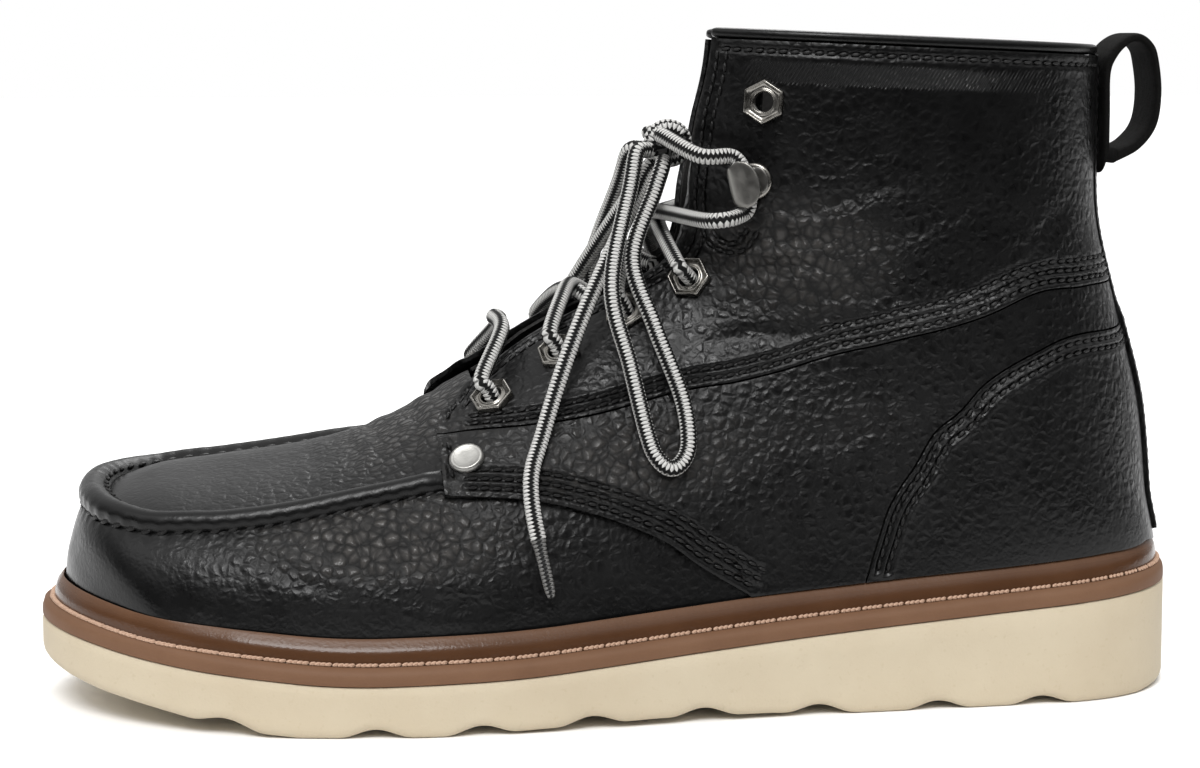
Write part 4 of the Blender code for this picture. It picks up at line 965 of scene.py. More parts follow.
def fill(bottom, top, left, right):
    """Places between four edges: bottom and top run back, left and right run up."""
    u = np.linspace(0, 1, len(bottom))[None, :, None]
    v = np.linspace(0, 1, len(left))[:, None, None]
    ruled = (1 - v) * bottom[None] + v * top[None] + (1 - u) * left[:, None] + u * right[:, None]
    low = (1 - u) * bottom[0] + u * bottom[-1]
    high = (1 - u) * top[0] + u * top[-1]
    return ruled - (1 - v) * low - v * high


HEEL_HALF = 95


def before_slot(run):
    """A run of places that ends at the strip up the back."""
    points = on_last(run[:, 0], -run[:, 1])
    inside = (points[:, 0] > HEEL_HALF) & (np.abs(points[:, 1]) < SLOT)
    return run[: inside.argmax() + 1] if inside.any() else run


def row_on(run, side, lift=PANEL_LIFT):
    """A row of stitches on one side of the boot: its points and the ways out."""
    station, turn = run[:, 0], side * run[:, 1]
    return skin(station, turn, lift), way_out(station, turn)


print("panels lie", PANEL_LIFT, "mm off the last")

# %% [markdown]
# Holes for the eyelets could be cut by a Boolean with a cylinder. On a close grid it is enough to delete
# the points round each eyelet's axis, because the metal ring covers the rough rim. Then the sheet gets
# its wall.

# %% A sheet of leather on the last
HOLE, HOLE_DEEP = 3.3, 6


def outside_in(points, station, turn):
    """True where a grid's faces would point into the boot."""
    facing = np.cross(np.diff(points, axis=1)[:-1], np.diff(points, axis=0)[:, :-1])
    dots = (facing * way_out(station, turn)[:-1, :-1]).sum(-1)
    wrong = min((dots < 0).sum(), (dots > 0).sum())
    if wrong:
        print("  folded cells:", wrong, "of", dots.size)
    return (dots < 0).mean() > 0.5


def pierce(piece, side):
    """Cuts the eyelet holes: points of a sheet that lie close to an eyelet's axis are deleted."""
    points = np.array([vertex.co[:] for vertex in piece.data.vertices]) / MM - SHIFT
    close = np.zeros(len(points), bool)
    for station, share in EYELET_SPOTS:
        gap = points - skin(station, side * share, PANEL_LIFT)
        normal = way_out(station, side * share)
        deep = gap @ normal
        off_axis = np.linalg.norm(gap - deep[:, None] * normal, axis=1)
        close |= (off_axis < HOLE) & (np.abs(deep) < HOLE_DEEP)
    if not close.any():
        return
    choose(piece)
    bpy.ops.object.mode_set(mode="EDIT")
    bpy.ops.mesh.select_mode(type="VERT")
    bpy.ops.mesh.select_all(action="DESELECT")
    bpy.ops.object.mode_set(mode="OBJECT")
    piece.data.vertices.foreach_set("select", close)
    bpy.ops.object.mode_set(mode="EDIT")
    bpy.ops.mesh.delete(type="VERT")
    bpy.ops.object.mode_set(mode="OBJECT")


def sheet(name, station, turn, lift, wall, rim=0, side=0, **marks):
    """A sheet off the last, faced outwards, marked, pierced where a side is given, and thickened."""
    points = skin(station, turn, lift)
    way = -1 if outside_in(points, station, turn) else 1
    piece = lay(name, points[:, ::way])
    for key, values in marks.items():
        mark(piece, key, np.broadcast_to(values, station.shape)[:, ::way].reshape(-1))
    if side:
        pierce(piece, side)
    thicken(piece, wall, rim)
    return piece


print("eyelet holes are", 2 * HOLE, "mm wide")

# %% [markdown]
# The collar is one straight cut that falls towards the back, and everything near it is measured from
# that cut: where the panels end, the ribbed band and the binding.

# %% The collar's cut
COLLAR_X, COLLAR_Z, COLLAR_FALL, COLLAR_RUN = 24, 177.0, 4.6, 106
# drop below the cut of the band's two edges, and how soft they are; where it starts, ends and fades
BAND_TOP, BAND_FOOT, BAND_SOFT = 7.8, 13.9, 0.7
BAND_FRONT, BAND_START, BAND_BACK, BAND_FADE = 31, 2, 118, 55
COLLAR_FROM, COLLAR_STEPS = 17, 160


def collar_height(x):
    return COLLAR_Z - COLLAR_FALL * (x - COLLAR_X) / COLLAR_RUN


def rib_band(points):
    """Where the band of slanting ribs lies: a strip under the collar that fades towards the back."""
    x = points[..., 0]
    drop = collar_height(x) - points[..., 2]
    across = np.clip((drop - BAND_TOP) / BAND_SOFT, 0, 1) * np.clip((BAND_FOOT - drop) / BAND_SOFT, 0, 1)
    return across * np.clip((x - BAND_FRONT) / BAND_START, 0, 1) * np.clip((BAND_BACK - x) / BAND_FADE, 0, 1)


def collar_station(shares, side, drop):
    """Stations where the collar's cut, moved down by drop, crosses the given shares."""
    stations = np.linspace(COLLAR_FROM, LAST_STATION, COLLAR_STEPS)
    found = []
    for share in shares:
        points = on_last(stations, np.full(COLLAR_STEPS, side * share))
        over = points[:, 2] - (collar_height(points[:, 0]) - drop)
        found.append(np.interp(0, over, stations))
    return np.array(found)


print("collar stands", collar_height(COLLAR_X), "mm high in front")

# %% [markdown]
# A panel has its rows of stitches pressed in, its creases, and along a front edge that stands free a
# slight curl, which casts the thin shadow that such an edge has.

# %% One panel
CURL, CURL_REACH, LOWEST = 0.55, 1.1, 0.75


def panel(name, places, side, rows, node, curled=()):
    """A leather panel on the wall of the upper, with its rows of stitches pressed in."""
    station, turn = places[..., 0], side * places[..., 1]
    plain = skin(station, turn, PANEL_LIFT)
    lift = PANEL_LIFT + trough(plain, rows) - crease_depth(plain)
    for line, _ in curled:
        gap = np.linalg.norm(plain[..., None, :] - line, axis=-1).min(-1)
        lift = lift + CURL * np.exp(-((gap / CURL_REACH) ** 2))
    marks = {"grain": grain_at(plain), "ribbed": rib_band(plain)}
    piece = sheet(name, station, turn, np.maximum(lift, LOWEST), PANEL_WALL, 0.58, side, **marks)
    return settle(piece, LEATHER, "leather", node)


print("a free edge curls up by", CURL, "mm")

# %% Edges of a panel
SPAN_STEPS, BACK_STEPS, EASE_FROM = 1500, 80, 16.8


def by_station(run, shares):
    """Places of a run at shares of the way between its first and last station."""
    station = np.maximum.accumulate(run[:, 0] + np.arange(len(run)) * 1e-9)
    wanted = station[0] + shares * (station[-1] - station[0])
    return np.column_stack([wanted, np.interp(wanted, station, run[:, 1])])


def span(upper, lower, rows, columns):
    """Places on lines from an upper to a lower edge, each along one section of the last."""
    shares = np.linspace(0, 1, SPAN_STEPS)
    length = np.zeros(SPAN_STEPS)
    for run in (upper, lower):
        places = by_station(run, shares)
        points = on_last(places[:, 0], -places[:, 1])
        length[1:] += np.linalg.norm(np.diff(points, axis=0), axis=1)
    run = np.cumsum(length)
    shares = np.interp(np.linspace(0, run[-1], rows), run, shares)
    high, low = by_station(upper, shares), by_station(lower, shares)
    across = np.linspace(0, 1, columns)[None, :, None]
    return high[:, None] * (1 - across) + low[:, None] * across


def back_share(stations, half_width, steps=BACK_STEPS):
    """Shares at which each section is half a width away from the back line."""
    shares = np.linspace(1, 0.6, steps)
    away = [np.abs(on_last(np.full(steps, station), -shares)[:, 1]) for station in stations]
    return np.array([np.interp(half_width, one, shares) for one in away])


def back_edge(stations):
    """Places along the strip up the back, at given stations."""
    return np.column_stack([stations, back_share(stations, SLOT)])


def collar_fit(places, side, drop):
    """Bends the last rows of places to the straight cut of the collar."""
    last = collar_station(places[-1, :, 1], side, drop)
    ease = np.clip((places[..., 0] - EASE_FROM) / (places[-1, :, 0] - EASE_FROM), 0, 1)
    return np.dstack([places[..., 0] + ease * (last - places[-1, :, 0]), places[..., 1]])


print("edges are measured in", SPAN_STEPS, "steps")

# %% [markdown]
# The quarter lies low on the side between the vamp and the counter; the shaft panel with its eyestay lies
# over it and ends at the throat, the collar and the strip up the back. Both sides are cut to the same
# pattern, so one loop makes the pair, and a mirrored copy isn't needed.

# %% Quarters and shaft panels
SIDES = ((-1, "lateral"), (1, "medial"))
QUARTER_ROWS, SHAFT_ROWS = 230, 260
SEAM_GAP, COLLAR_DROP = 0.25, 2.9
SEWN = []
for side, word in SIDES:
    seam = before_slot(trace(SHAFT_SEAM))
    counter = aside(before_slot(trace(COUNTER_SEAM)), SEAM_GAP)
    lower = trace(QUARTER_LOWER)
    under = np.vstack([lower, trace(QUARTER_BEAD)[1:], counter[1:]])
    lower_rows = [row_on(aside(lower[6:], gap), side) for gap in (2.3, 4.9, 7.5)]
    rows = lower_rows + [row_on(aside(trace(QUARTER_FRONT)[8:-10], 2.0), side)]
    places = span(aside(seam, -SEAM_GAP), under, QUARTER_ROWS, 64)
    curled = [row_on(trace(QUARTER_FRONT), side)]
    panel(f"quarter_panel_{word}", places, side, rows, f"quarter_{word}", curled)
    SEWN += rows

    edge_stations = np.linspace(8.6, 18.75, 60)
    throat = np.column_stack([edge_stations, throat_share(edge_stations, side)])
    throat[:, 1] = calm(throat[:, 1], 3)
    tip = collar_station(throat[-1:, 1], side, COLLAR_DROP)[0]
    throat = throat[throat[:, 0] < tip - 0.1]
    front = trace(np.vstack([EYESTAY_FRONT[::-1], throat[::5], (tip, throat[-1, 1])]))
    seam = aside(seam, SEAM_GAP)
    back = back_edge(np.linspace(seam[-1, 0] + 0.03, 18.62, 30))
    places = collar_fit(span(front, np.vstack([seam, back]), SHAFT_ROWS, 110), side, COLLAR_DROP)
    seam_rows = [row_on(aside(seam[8:], gap), side) for gap in (1.9, 4.4)]
    seam_rows.append(row_on(aside(seam[90:], 6.9), side))
    edge = even(front, 220)
    edge_rows = [row_on(aside(edge[skip:-6], -gap), side) for skip, gap in ((7, 2.2), (18, 4.8))]
    collar_row = [row_on(aside(even(places[-1], 160)[4:-2], -2.6), side)]
    notch_rows = [row_on(arc, side) for arc in NOTCH_ROWS]
    rows = seam_rows + edge_rows + collar_row + notch_rows
    curled = [row_on(trace(EYESTAY_FRONT), side)]
    panel(f"shaft_panel_{word}", places, side, rows, f"shaft_{word}", curled)
    SEWN += rows

# %% [markdown]
# The counter is one stiff panel that goes round the heel. It could be two halves with a seam behind, but
# its leather is one cut, so the places of the inner half are those of the outer half turned past the
# back line.

# %% Heel counter
half = before_slot(trace(COUNTER_SEAM))
half = aside(np.vstack([half, at_back(100.6)]), -SEAM_GAP)
half[-1] = at_back(100.35)
top = even(half, 130)
low_x = np.concatenate([np.linspace(63.2, 130, 10), (139.0, 143.5)])
low_run = np.vstack([find(np.column_stack([low_x, sole_top(low_x) + BEAD])), at_back(39.6)])
bottom = even(trace(low_run), 130)
counter_rows = [row_on(aside(top[4:], -gap), side) for side in (-1, 1) for gap in (1.9, 4.5)]
both = []
for run in (bottom, top):
    outer_half = np.column_stack([run[:, 0], -run[:, 1]])
    inner_half = np.column_stack([run[::-1, 0], run[::-1, 1] - 2])[1:]
    both.append(np.vstack([outer_half, inner_half]))
left = np.linspace(both[0][0], both[1][0], 84)
right = np.linspace(both[0][-1], both[1][-1], 84)
places = fill(both[0], both[1], left, right)
places[..., 1] *= -1
panel("counter_panel", places, -1, counter_rows, "counter")
SEWN += counter_rows

# %% [markdown]
# ## Vamp
# The vamp is two leathers joined by the raised seam: a wall that runs round the toe, gathered along its
# top, and a plug on top. Sections would do for the wall as for the panels, but round the toe they all
# meet near one place. So the wall is blended in space between the sole line and the seam, and then
# dropped onto the nearest place of the last.

# %% Nearest places on the last
LAST_POINTS = LAST.reshape(-1, 3)
NEAREST = KDTree(len(LAST_POINTS))
for index, point in enumerate(LAST_POINTS):
    NEAREST.insert(point, index)
NEAREST.balance()


def locate(points):
    """Stations and turns of the places on the last that are nearest to points."""
    flat = points.reshape(-1, 3)
    index = np.array([NEAREST.find(point)[1] for point in flat])
    station, turn = index // LAST.shape[1] / ROWS_PER_STATION, index % LAST.shape[1] / HALF - 1
    for _ in range(4):
        onward, across = step_for(station, turn, flat - on_last(station, turn))
        station = np.clip(station + np.clip(onward, -0.1, 0.1), 0, LAST_STATION)
        turn = turn + np.clip(across, -0.01, 0.01)
    return station.reshape(points.shape[:-1]), turn.reshape(points.shape[:-1])


# plan of the seam on the outer side, from the middle of the toe to the front of the quarter
MOC_PLAN = ((-138.2, 5.0), (-137.2, -5.0), (-132.5, -17.5), (-122.4, -27.0), (-110.0, -31.0), (-97.0, -33.4),
            (-72.0, -35.2), (-50.0, -37.0), (-42.0, -37.6))
MOC_HALF = trace(find(MOC_PLAN, axes=(0, 1)))
MOC_HALF[0, 1] = 0.0
MOC_POINTS = on_last(MOC_HALF[:, 0], -MOC_HALF[:, 1])
print("toe seam is", (2 * run_of(MOC_POINTS)[-1]).round(1), "mm long")

# %% [markdown]
# The wall's top is gathered onto the seam, so small puckers stand below each stitch and fade downwards.
# They could be in the bump alone, but they break the highlight along the toe, so they are in the mesh.

# %% Vamp wall
WALL_ROWS, WALL_BACK, WALL_FRONT, VAMP_WALL = 48, 84, 140, 1.2
PUCKER, PUCKER_HEIGHT, PUCKER_AT, PUCKER_REACH = 4.6, 0.2, 3.0, 2.6
UNDER_PANEL, UNDER_MOST, NO_LIMIT = 0.25, 0.15, 9


def parted(line, cuts, counts):
    """A line of points, evenly spaced between its cuts."""
    parts = []
    for start, stop, count in zip(cuts, cuts[1:], counts):
        parts.append(spread(line[start : stop + 1], count + 1)[:-1])
    return np.concatenate(parts + [line[cuts[-1]][None]])


QUARTER_X = -48


def cuts_of(line):
    """Where a line round the toe starts, passes the quarter, turns at the toe, and so on back."""
    middle = len(line) // 2
    front = np.abs(line[:middle, 0] - QUARTER_X).argmin()
    back = middle + np.abs(line[middle:, 0] - QUARTER_X).argmin()
    return 0, int(front), middle, int(back), len(line) - 1


outer, inward, way = wall_places(FOOT_HEIGHT, 2 * WELT_RINGS)
foot = np.column_stack([outer + inward * way[:, None], sole_top(outer[:, 0]) + FOOT_HEIGHT])
foot = foot[foot[:, 0] < 36]
turn_at = int(np.linalg.norm(np.diff(foot, axis=0), axis=1).argmax()) + 1
foot = np.concatenate([foot[:turn_at][::-1], foot[turn_at:][::-1]])
hidden = aside(trace(QUARTER_LOWER), 7.0)[12:]
half = np.vstack([MOC_HALF[: np.abs(MOC_POINTS[:, 0] + 50).argmin()], hidden])
crest = np.concatenate([on_last(half[::-1, 0], -half[::-1, 1]), on_last(half[1:, 0], half[1:, 1])])
counts = WALL_BACK, WALL_FRONT, WALL_FRONT, WALL_BACK
foot = parted(foot, cuts_of(foot), counts)
crest = parted(crest, cuts_of(crest), counts)
rise = np.linspace(0, 1, WALL_ROWS)[:, None, None]
station, turn = locate(foot * (1 - rise) + crest * rise)
plain = on_last(station, turn)
run = run_of(crest)
below = np.linalg.norm(plain - crest, axis=2)
gathered = np.zeros(len(crest))
gathered[WALL_BACK : WALL_BACK + 2 * WALL_FRONT] = 1
pucker = gathered * np.cos(2 * math.pi * run / PUCKER) * np.exp(-(((below - PUCKER_AT) / PUCKER_REACH) ** 2))
lift = PUCKER_HEIGHT * pucker - crease_depth(plain) - UNDER_PANEL * (1 - gathered)
lift = np.minimum(lift, np.where(gathered > 0, NO_LIMIT, UNDER_MOST))
wall = sheet("vamp_wall", station, turn, lift, VAMP_WALL, grain=grain_at(plain))
settle(wall, LEATHER, "leather", "upper")

# %% [markdown]
# The plug is the flat leather on top of the toe. It lies a little lower than the seam round it, and where
# the foot bends it is covered with fine cross wrinkles, which are two sine waves bent by slower ones.
# Behind the toe seam it runs on under the panels to the front of the throat.

# %% Toe plug
FLEX_FROM, FLEX_REACH, WRINKLE = -88, 22, 0.2
under_panel = np.linspace(MOC_HALF[-1] + (0.02, -0.01), (7.96, 0.2), 12)
plug_edge = np.vstack([MOC_HALF, under_panel])
centre = np.column_stack([plug_edge[:, 0], np.zeros(len(plug_edge))])
places = span(plug_edge, centre, 165, 46)
station = np.concatenate([places[..., 0], places[:, -2::-1, 0]], axis=1)
turn = np.concatenate([-places[..., 1], places[:, -2::-1, 1]], axis=1)
plain = on_last(station, turn)
flex = np.clip((plain[..., 0] - FLEX_FROM) / FLEX_REACH, 0, 1) * (0.5 + 0.5 * np.cos(turn / turn.max() * 2.2))
x, y = plain[..., 0] + 0.004 * plain[..., 1] ** 2, plain[..., 1]
wrinkle = np.sin(x * 0.72 + 0.9 * np.sin(y * 0.11))
wrinkle = wrinkle + 0.6 * np.sin(x * 1.13 + 0.7 * np.sin(y * 0.17 + 1.0) + 2.0)
sunk = np.interp(plain[..., 0], (-68, -50), (-2.4, -1.2))
grain = grain_at(plain) * 0.6 + 0.5 * flex
plug = sheet("toe_plug", station, turn, sunk + WRINKLE * flex * wrinkle, VAMP_WALL, grain=grain)
settle(plug, LEATHER, "leather", "upper")

# %% [markdown]
# The seam itself is the edge of the wall, rolled up over the edge of the plug and sewn through. A curve
# with a round bevel would look like a cord, so it is a half-round profile carried along the seam, whose
# outer foot goes in and out with the stitches.

# %% Raised toe seam
SEAM_STEP, SEAM_ENDS_X, TOE_X, TOE_REACH = 0.7, -47.2, -140, 16
WIDER_AT_TOE, HIGHER_AT_TOE = 0.16, 0.06
seam = MOC_HALF[: np.abs(MOC_POINTS[:, 0] - SEAM_ENDS_X).argmin()]
full = np.vstack([np.column_stack([seam[::-1, 0], -seam[::-1, 1]]), seam[1:]])
line = spread(np.concatenate([on_last(full[:, 0], full[:, 1]), full], 1), step=SEAM_STEP)
station, turn = line[:, 3], line[:, 4]
middle, out = on_last(station, turn), way_out(station, turn)
out = unit(np.stack([calm(axis, 6) for axis in out.T], 1))
ahead = unit(np.gradient(middle, axis=0))
wide_way = unit(np.cross(out, ahead))
run = np.arange(len(line)) * SEAM_STEP
at_toe = np.exp(-(((middle[:, 0] - TOE_X) / TOE_REACH) ** 2))
ends = np.clip(np.minimum(run, run[-1] - run) / 5, 0, 1) ** 0.5
bite = np.cos(2 * math.pi * run / PUCKER)
# across and height of the roll, from its outer foot over the crest and down to the plug
ROLL = np.array((
    (3.2, -0.9), (3.35, 0.1), (3.05, 1.4), (2.2, 2.6), (0.9, 3.3), (-0.5, 3.3), (-1.7, 2.6), (-2.5, 1.3),
    (-2.9, -0.3), (-3.0, -1.8), (-2.8, -3.0), (0.0, -3.0),
))
rings = []
for across, high in curve(ROLL, np.linspace(0, len(ROLL) - 1, 34)):
    far = across * (1 + WIDER_AT_TOE * at_toe) * (1 + (0.05 if across > 0 else 0.03) * bite)
    height = np.full(len(run), high)
    if high > 0:
        height = high * (1 + HIGHER_AT_TOE * at_toe) * (0.35 + 0.65 * ends)
    rings.append(middle + far[:, None] * wide_way + height[:, None] * out)
ridge = lay("toe_seam", np.array(rings + rings[:1]), closed=True)
mark(ridge, "grain", 0.2)
settle(ridge, ROLLED, "leather", "moc_seam")
feet = []
for far, high, tilt in ((3.35, 0.0, 0.8), (-3.05, -0.9, -0.8)):
    foot_line = middle + (far * (1 + WIDER_AT_TOE * at_toe))[:, None] * wide_way + high * out
    feet.append((foot_line[4:-4], unit(out + tilt * wide_way)[4:-4]))
sew("toe_seam_stitches", feet, BLACK_THREAD, "leather", pitch=PUCKER, length=3.6, wide=0.7, slant=0.45)

# %% [markdown]
# ## Lining, binding and back
# Behind the panels lies the lining, which shows inside the collar and along the throat. The inside of the
# upper's solid could show instead, but it would be black. So the lining is its own sheet on each side,
# rolled out a little along the throat, where it meets the eyestay.

# %% Lining
LINING_ROWS, LINING_DEEP, LINING_WALL, LINING_DROP = 150, 1.35, 0.8, 1.6
ROLL_OUT, ROLL_REACH, ROLL_FROM, ROLL_EASE = 1.5, 2.5, 8.1, 0.6


def sole_share(stations):
    """Share at which each section reaches the insole, or the back line behind the heel."""
    shares = np.linspace(0.4, 1, 200)
    points = on_last(*np.broadcast_arrays(stations[:, None], -shares[None]))
    over = points[..., 2] - sole_top(points[..., 0]) > 0.6
    return np.where(over.all(1), 1.0, shares[np.minimum((~over).argmax(1), 199)])


for side, word in SIDES:
    stations = np.linspace(8.0, 18.75, 90)
    throat = np.column_stack([stations, calm(throat_share(stations, side) + 0.002, 3)])
    foot_edge = np.column_stack([stations, sole_share(stations)])
    places = collar_fit(span(throat, foot_edge, LINING_ROWS, 90), side, LINING_DROP)
    station, turn = places[..., 0], side * places[..., 1]
    plain = on_last(station, turn)
    from_edge = np.linalg.norm(plain - plain[:, :1], axis=2)
    rolled = np.exp(-((from_edge / ROLL_REACH) ** 2)) * np.clip((station - ROLL_FROM) / ROLL_EASE, 0, 1)
    lift = -LINING_DEEP + ROLL_OUT * rolled
    lining = sheet(f"lining_{word}", station, turn, lift, LINING_WALL, side=side, grain=0.5)
    settle(lining, LINING, "lining", "upper")

# %% [markdown]
# A rolled binding caps the cut edges of shaft and lining along the collar. It could be a curve with a
# bevel; here rings of a rounded box are swept along the collar's cut, because the roll is wider than
# it is high and closes in at its ends.

# %% Collar binding
BINDING_WIDE, BINDING_HIGH, BINDING_DROP = 2.15, 1.4, 1.3


def boxy(value, power):
    """Bends a circle's sine or cosine towards a rounded box."""
    return np.sign(value) * abs(value) ** power


line = []
for side in (-1, 1):
    tip = throat_share(np.array([18.7]), side)[0]
    shares = np.linspace(tip - 0.012, 1, 150)
    part = np.column_stack([collar_station(shares, side, BINDING_DROP), side * shares])
    line.append(part if side < 0 else part[::-1][1:])
station, turn = np.vstack(line).T
middle, out = skin(station, turn, -0.3), way_out(station, turn)
up = on_last(station + 0.05, turn) - on_last(station - 0.05, turn)
up = unit(up - (up * out).sum(1, keepdims=True) * out)
count = np.arange(len(middle))
ends = np.clip(np.minimum(count, count[::-1]) / 3, 0, 1)
ends = np.sqrt(1 - (1 - ends) ** 2) * 0.75 + 0.25
rings = []
for angle in np.linspace(0, 2 * math.pi, 21):
    wide = BINDING_WIDE * boxy(np.cos(angle), 0.75) * ends
    high = BINDING_HIGH * boxy(np.sin(angle), 0.75) * ends
    rings.append(middle + wide[:, None] * out + high[:, None] * up)
binding = lay("collar_roll", np.array(rings), closed=True)
mark(binding, "grain", 0.25)
settle(binding, ROLLED, "leather", "collar_binding")

# %% [markdown]
# A strip covers the seam up the back, from the welt to the collar, with two rows of stitches on each
# side. It steps out where it passes over the counter. It is a sheet like the panels, laid across the back
# line.

# %% Strip up the back
STRIP_ROWS, STRIP_COLUMNS, STRIP_HALF, STRIP_WALL = 160, 41, 11.0, 1.55
low, high = at_back(39.8)[0], collar_station(np.array([1.0]), -1, COLLAR_DROP)[0]
stations = np.linspace(low, high, STRIP_ROWS)
strip_lift = np.interp(on_last(stations, np.ones(STRIP_ROWS))[:, 2], (98.0, 103.5), (2.75, 1.95))
half_turn = 1 - back_share(stations, STRIP_HALF, 160)
across = np.linspace(-1, 1, STRIP_COLUMNS)
station = np.repeat(stations[:, None], STRIP_COLUMNS, 1)
turn = 1 + half_turn[:, None] * across
collar = collar_station(2 - turn[-1].clip(1, 2), -1, COLLAR_DROP)
station = station + (np.linspace(0, 1, STRIP_ROWS) ** 6)[:, None] * (collar - station[-1])
strip_rows = []
for share in (-0.84, -0.62, 0.62, 0.84):
    places = np.column_stack([stations[2:-1], 1 + share * half_turn[2:-1]])
    strip_rows.append((skin(*places.T, strip_lift[2:-1]), way_out(*places.T)))
plain = skin(station, turn, strip_lift[:, None])
lift = strip_lift[:, None] + trough(plain, strip_rows)
strip = sheet("back_strip", station, turn, lift, STRIP_WALL, 0.42, grain=grain_at(plain))
settle(strip, LEATHER, "leather", "backstay")
SEWN += strip_rows

# %% [markdown]
# A folded strap at the back serves to pull the boot on. A bent strip with Solidify would have one
# thickness; this one pinches where it is sewn in, so its outer and inner lines are drawn apart and rings
# join them.

# %% Pull loop
LOOP_STEPS, LOOP_HALF = 150, 10.0
# outer x z, inner x z: up along the back, over the top and down outside
PULL_LOOP = np.array((
    (132.2, 138.0, 134.4, 146.0), (132.2, 153.0, 134.4, 155.0), (132.2, 166.5, 134.4, 164.5),
    (134.2, 171.2, 136.2, 169.2), (138.0, 174.6, 139.0, 172.2), (142.0, 175.6, 141.8, 173.0),
    (145.4, 173.6, 144.0, 171.4), (147.4, 169.6, 145.2, 168.6), (148.6, 160.0, 146.3, 160.0),
    (147.4, 150.7, 145.2, 151.8), (142.8, 144.4, 141.4, 147.0), (135.8, 140.6, 136.6, 144.6),
))
loop_rows = curve(PULL_LOOP, np.linspace(0, len(PULL_LOOP) - 1, LOOP_STEPS))
outer_line, inner_line = loop_rows[:, :2], loop_rows[:, 2:]
rings = []
for angle in np.linspace(0, 2 * math.pi, 33):
    beside = np.full(LOOP_STEPS, LOOP_HALF * boxy(np.cos(angle), 0.35))
    deep = 0.5 - 0.5 * boxy(np.sin(angle), 0.6)
    flat = outer_line * (1 - deep) + inner_line * deep
    rings.append(np.column_stack([flat[:, 0], beside, flat[:, 1]]))
pull = lay("pull_strap", np.array(rings), closed=True)
mark(pull, "grain", 0.3)
settle(pull, SUEDE, "leather", "pull_loop")

# %% [markdown]
# ## Tongue
# The tongue is a soft leather flap with a thin filling, sewn in under the plug and set back behind the
# lace. Cloth with a little pressure could fill it, but the lace presses it flat, so it is a crowned sheet
# with rolled sides and soft ripples. The insole below it keeps its solid and takes the lining's finish.

# %% Tongue and insole
TONGUE_FROM, TONGUE_TO, TONGUE_HALF, TONGUE_WALL = 7.0, 18.6, 0.22, 2.6
CROWN, RIPPLE = 0.5, 0.22
stations = np.linspace(TONGUE_FROM, TONGUE_TO, 170)
depth = np.interp(stations, (7.0, 7.7, 8.6, 12.0, 14.0, 18.6), (3.4, 3.6, 4.7, 5.8, 7.0, 12.5))
across = np.linspace(-1, 1, 61)
station, turn = np.meshgrid(stations, TONGUE_HALF * across, indexing="ij")
plain = on_last(station, turn)
soft = CROWN * np.cos(across * math.pi / 2)[None] * np.clip((TONGUE_TO - station) / 1.0, 0, 1)
ripple = RIPPLE * np.sin(plain[..., 2] * 0.55 + 0.6 * np.sin(plain[..., 1] * 0.2))
ripple = ripple * np.clip((station - 9) / 3, 0, 1)
tongue = sheet("leather_tongue", station, turn, -depth[:, None] + soft + ripple, TONGUE_WALL, 0.9, grain=0.55)
settle(tongue, LEATHER, "leather", "tongue")
insole = bpy.data.objects["insole"]
insole.data.materials.clear()
insole.data.materials.append(LINING)
print("insole keeps its solid")

# %% [markdown]
# ## Seam threads
# All the black rows are sewn with the same short stitch. A bump could draw them, but close to the camera
# they stand up from the leather. They are one piece, because one thread runs through them.

# %% Sewing the upper
sew("upper_stitches", SEWN, BLACK_THREAD, "leather", pitch=3.1, length=2.6, wide=0.47, slant=0.16)

# %% [markdown]
# ## Fittings
# Five eyelets, one hook and one rivet sit on each side. They are pressed through the leather, so each has
# a seat: a place and a direction square to the leather. The leather bends below a fitting, so rays from
# round its rim find the highest spot, and the fitting rests on that one.

# %% Seats on the panels
HOOK_AT, RIVET_AT = (34.4, 137.6), (-41.7, 66.0)
GAP, RAY_FROM, SEAT_STEP = 0.3, 8, 0.3
COVER = 160

stations, turns = np.linspace(6, 19, COVER), np.linspace(-0.6, 0.6, COVER)
COVER_TREE = tree_of(skin(*np.meshgrid(stations, turns, indexing="ij"), PANEL_LIFT))


def seat(place, side, radius):
    """Where a fitting sits: origin, way along the edge, way back from the throat, way out."""
    station, share = find([place])[0]
    turn = side * share
    point, normal = skin(station, turn, PANEL_LIFT), way_out(station, turn)
    ahead = on_last(station + SEAT_STEP, turn) - on_last(station - SEAT_STEP, turn)
    ahead = unit(ahead - normal * ahead.dot(normal))
    back = np.cross(normal, ahead) * side
    lift = 0.0
    for angle in np.linspace(0, 2 * math.pi, 12, endpoint=False):
        rim = point + radius * (math.cos(angle) * ahead + math.sin(angle) * back)
        hit = COVER_TREE.ray_cast(Vector(rim + RAY_FROM * normal), Vector(-normal))
        lift = max(lift, RAY_FROM - hit[3]) if hit[0] else lift
    return point + (lift + GAP) * normal, ahead, back, normal


EYELET_SEATS = {side: [seat(place, side, 5.1) for place in EYELETS] for side, _ in SIDES}
HOOK_SEATS = {side: seat(HOOK_AT, side, 6.2) for side, _ in SIDES}
RIVET_SEATS = {side: seat(RIVET_AT, side, 4.2) for side, _ in SIDES}
print("seats:", 2 * len(EYELETS) + 4)

# %% [markdown]
# An eyelet is a turned ring with six flats outside and a round hole, a rivet is a low dome, and a hook has
# a round foot. Spin or Screw would turn a profile, but not into six flats, so rings of a grid are turned
# here. One of each is made at the origin, and copies with their own mesh are set on their seats.


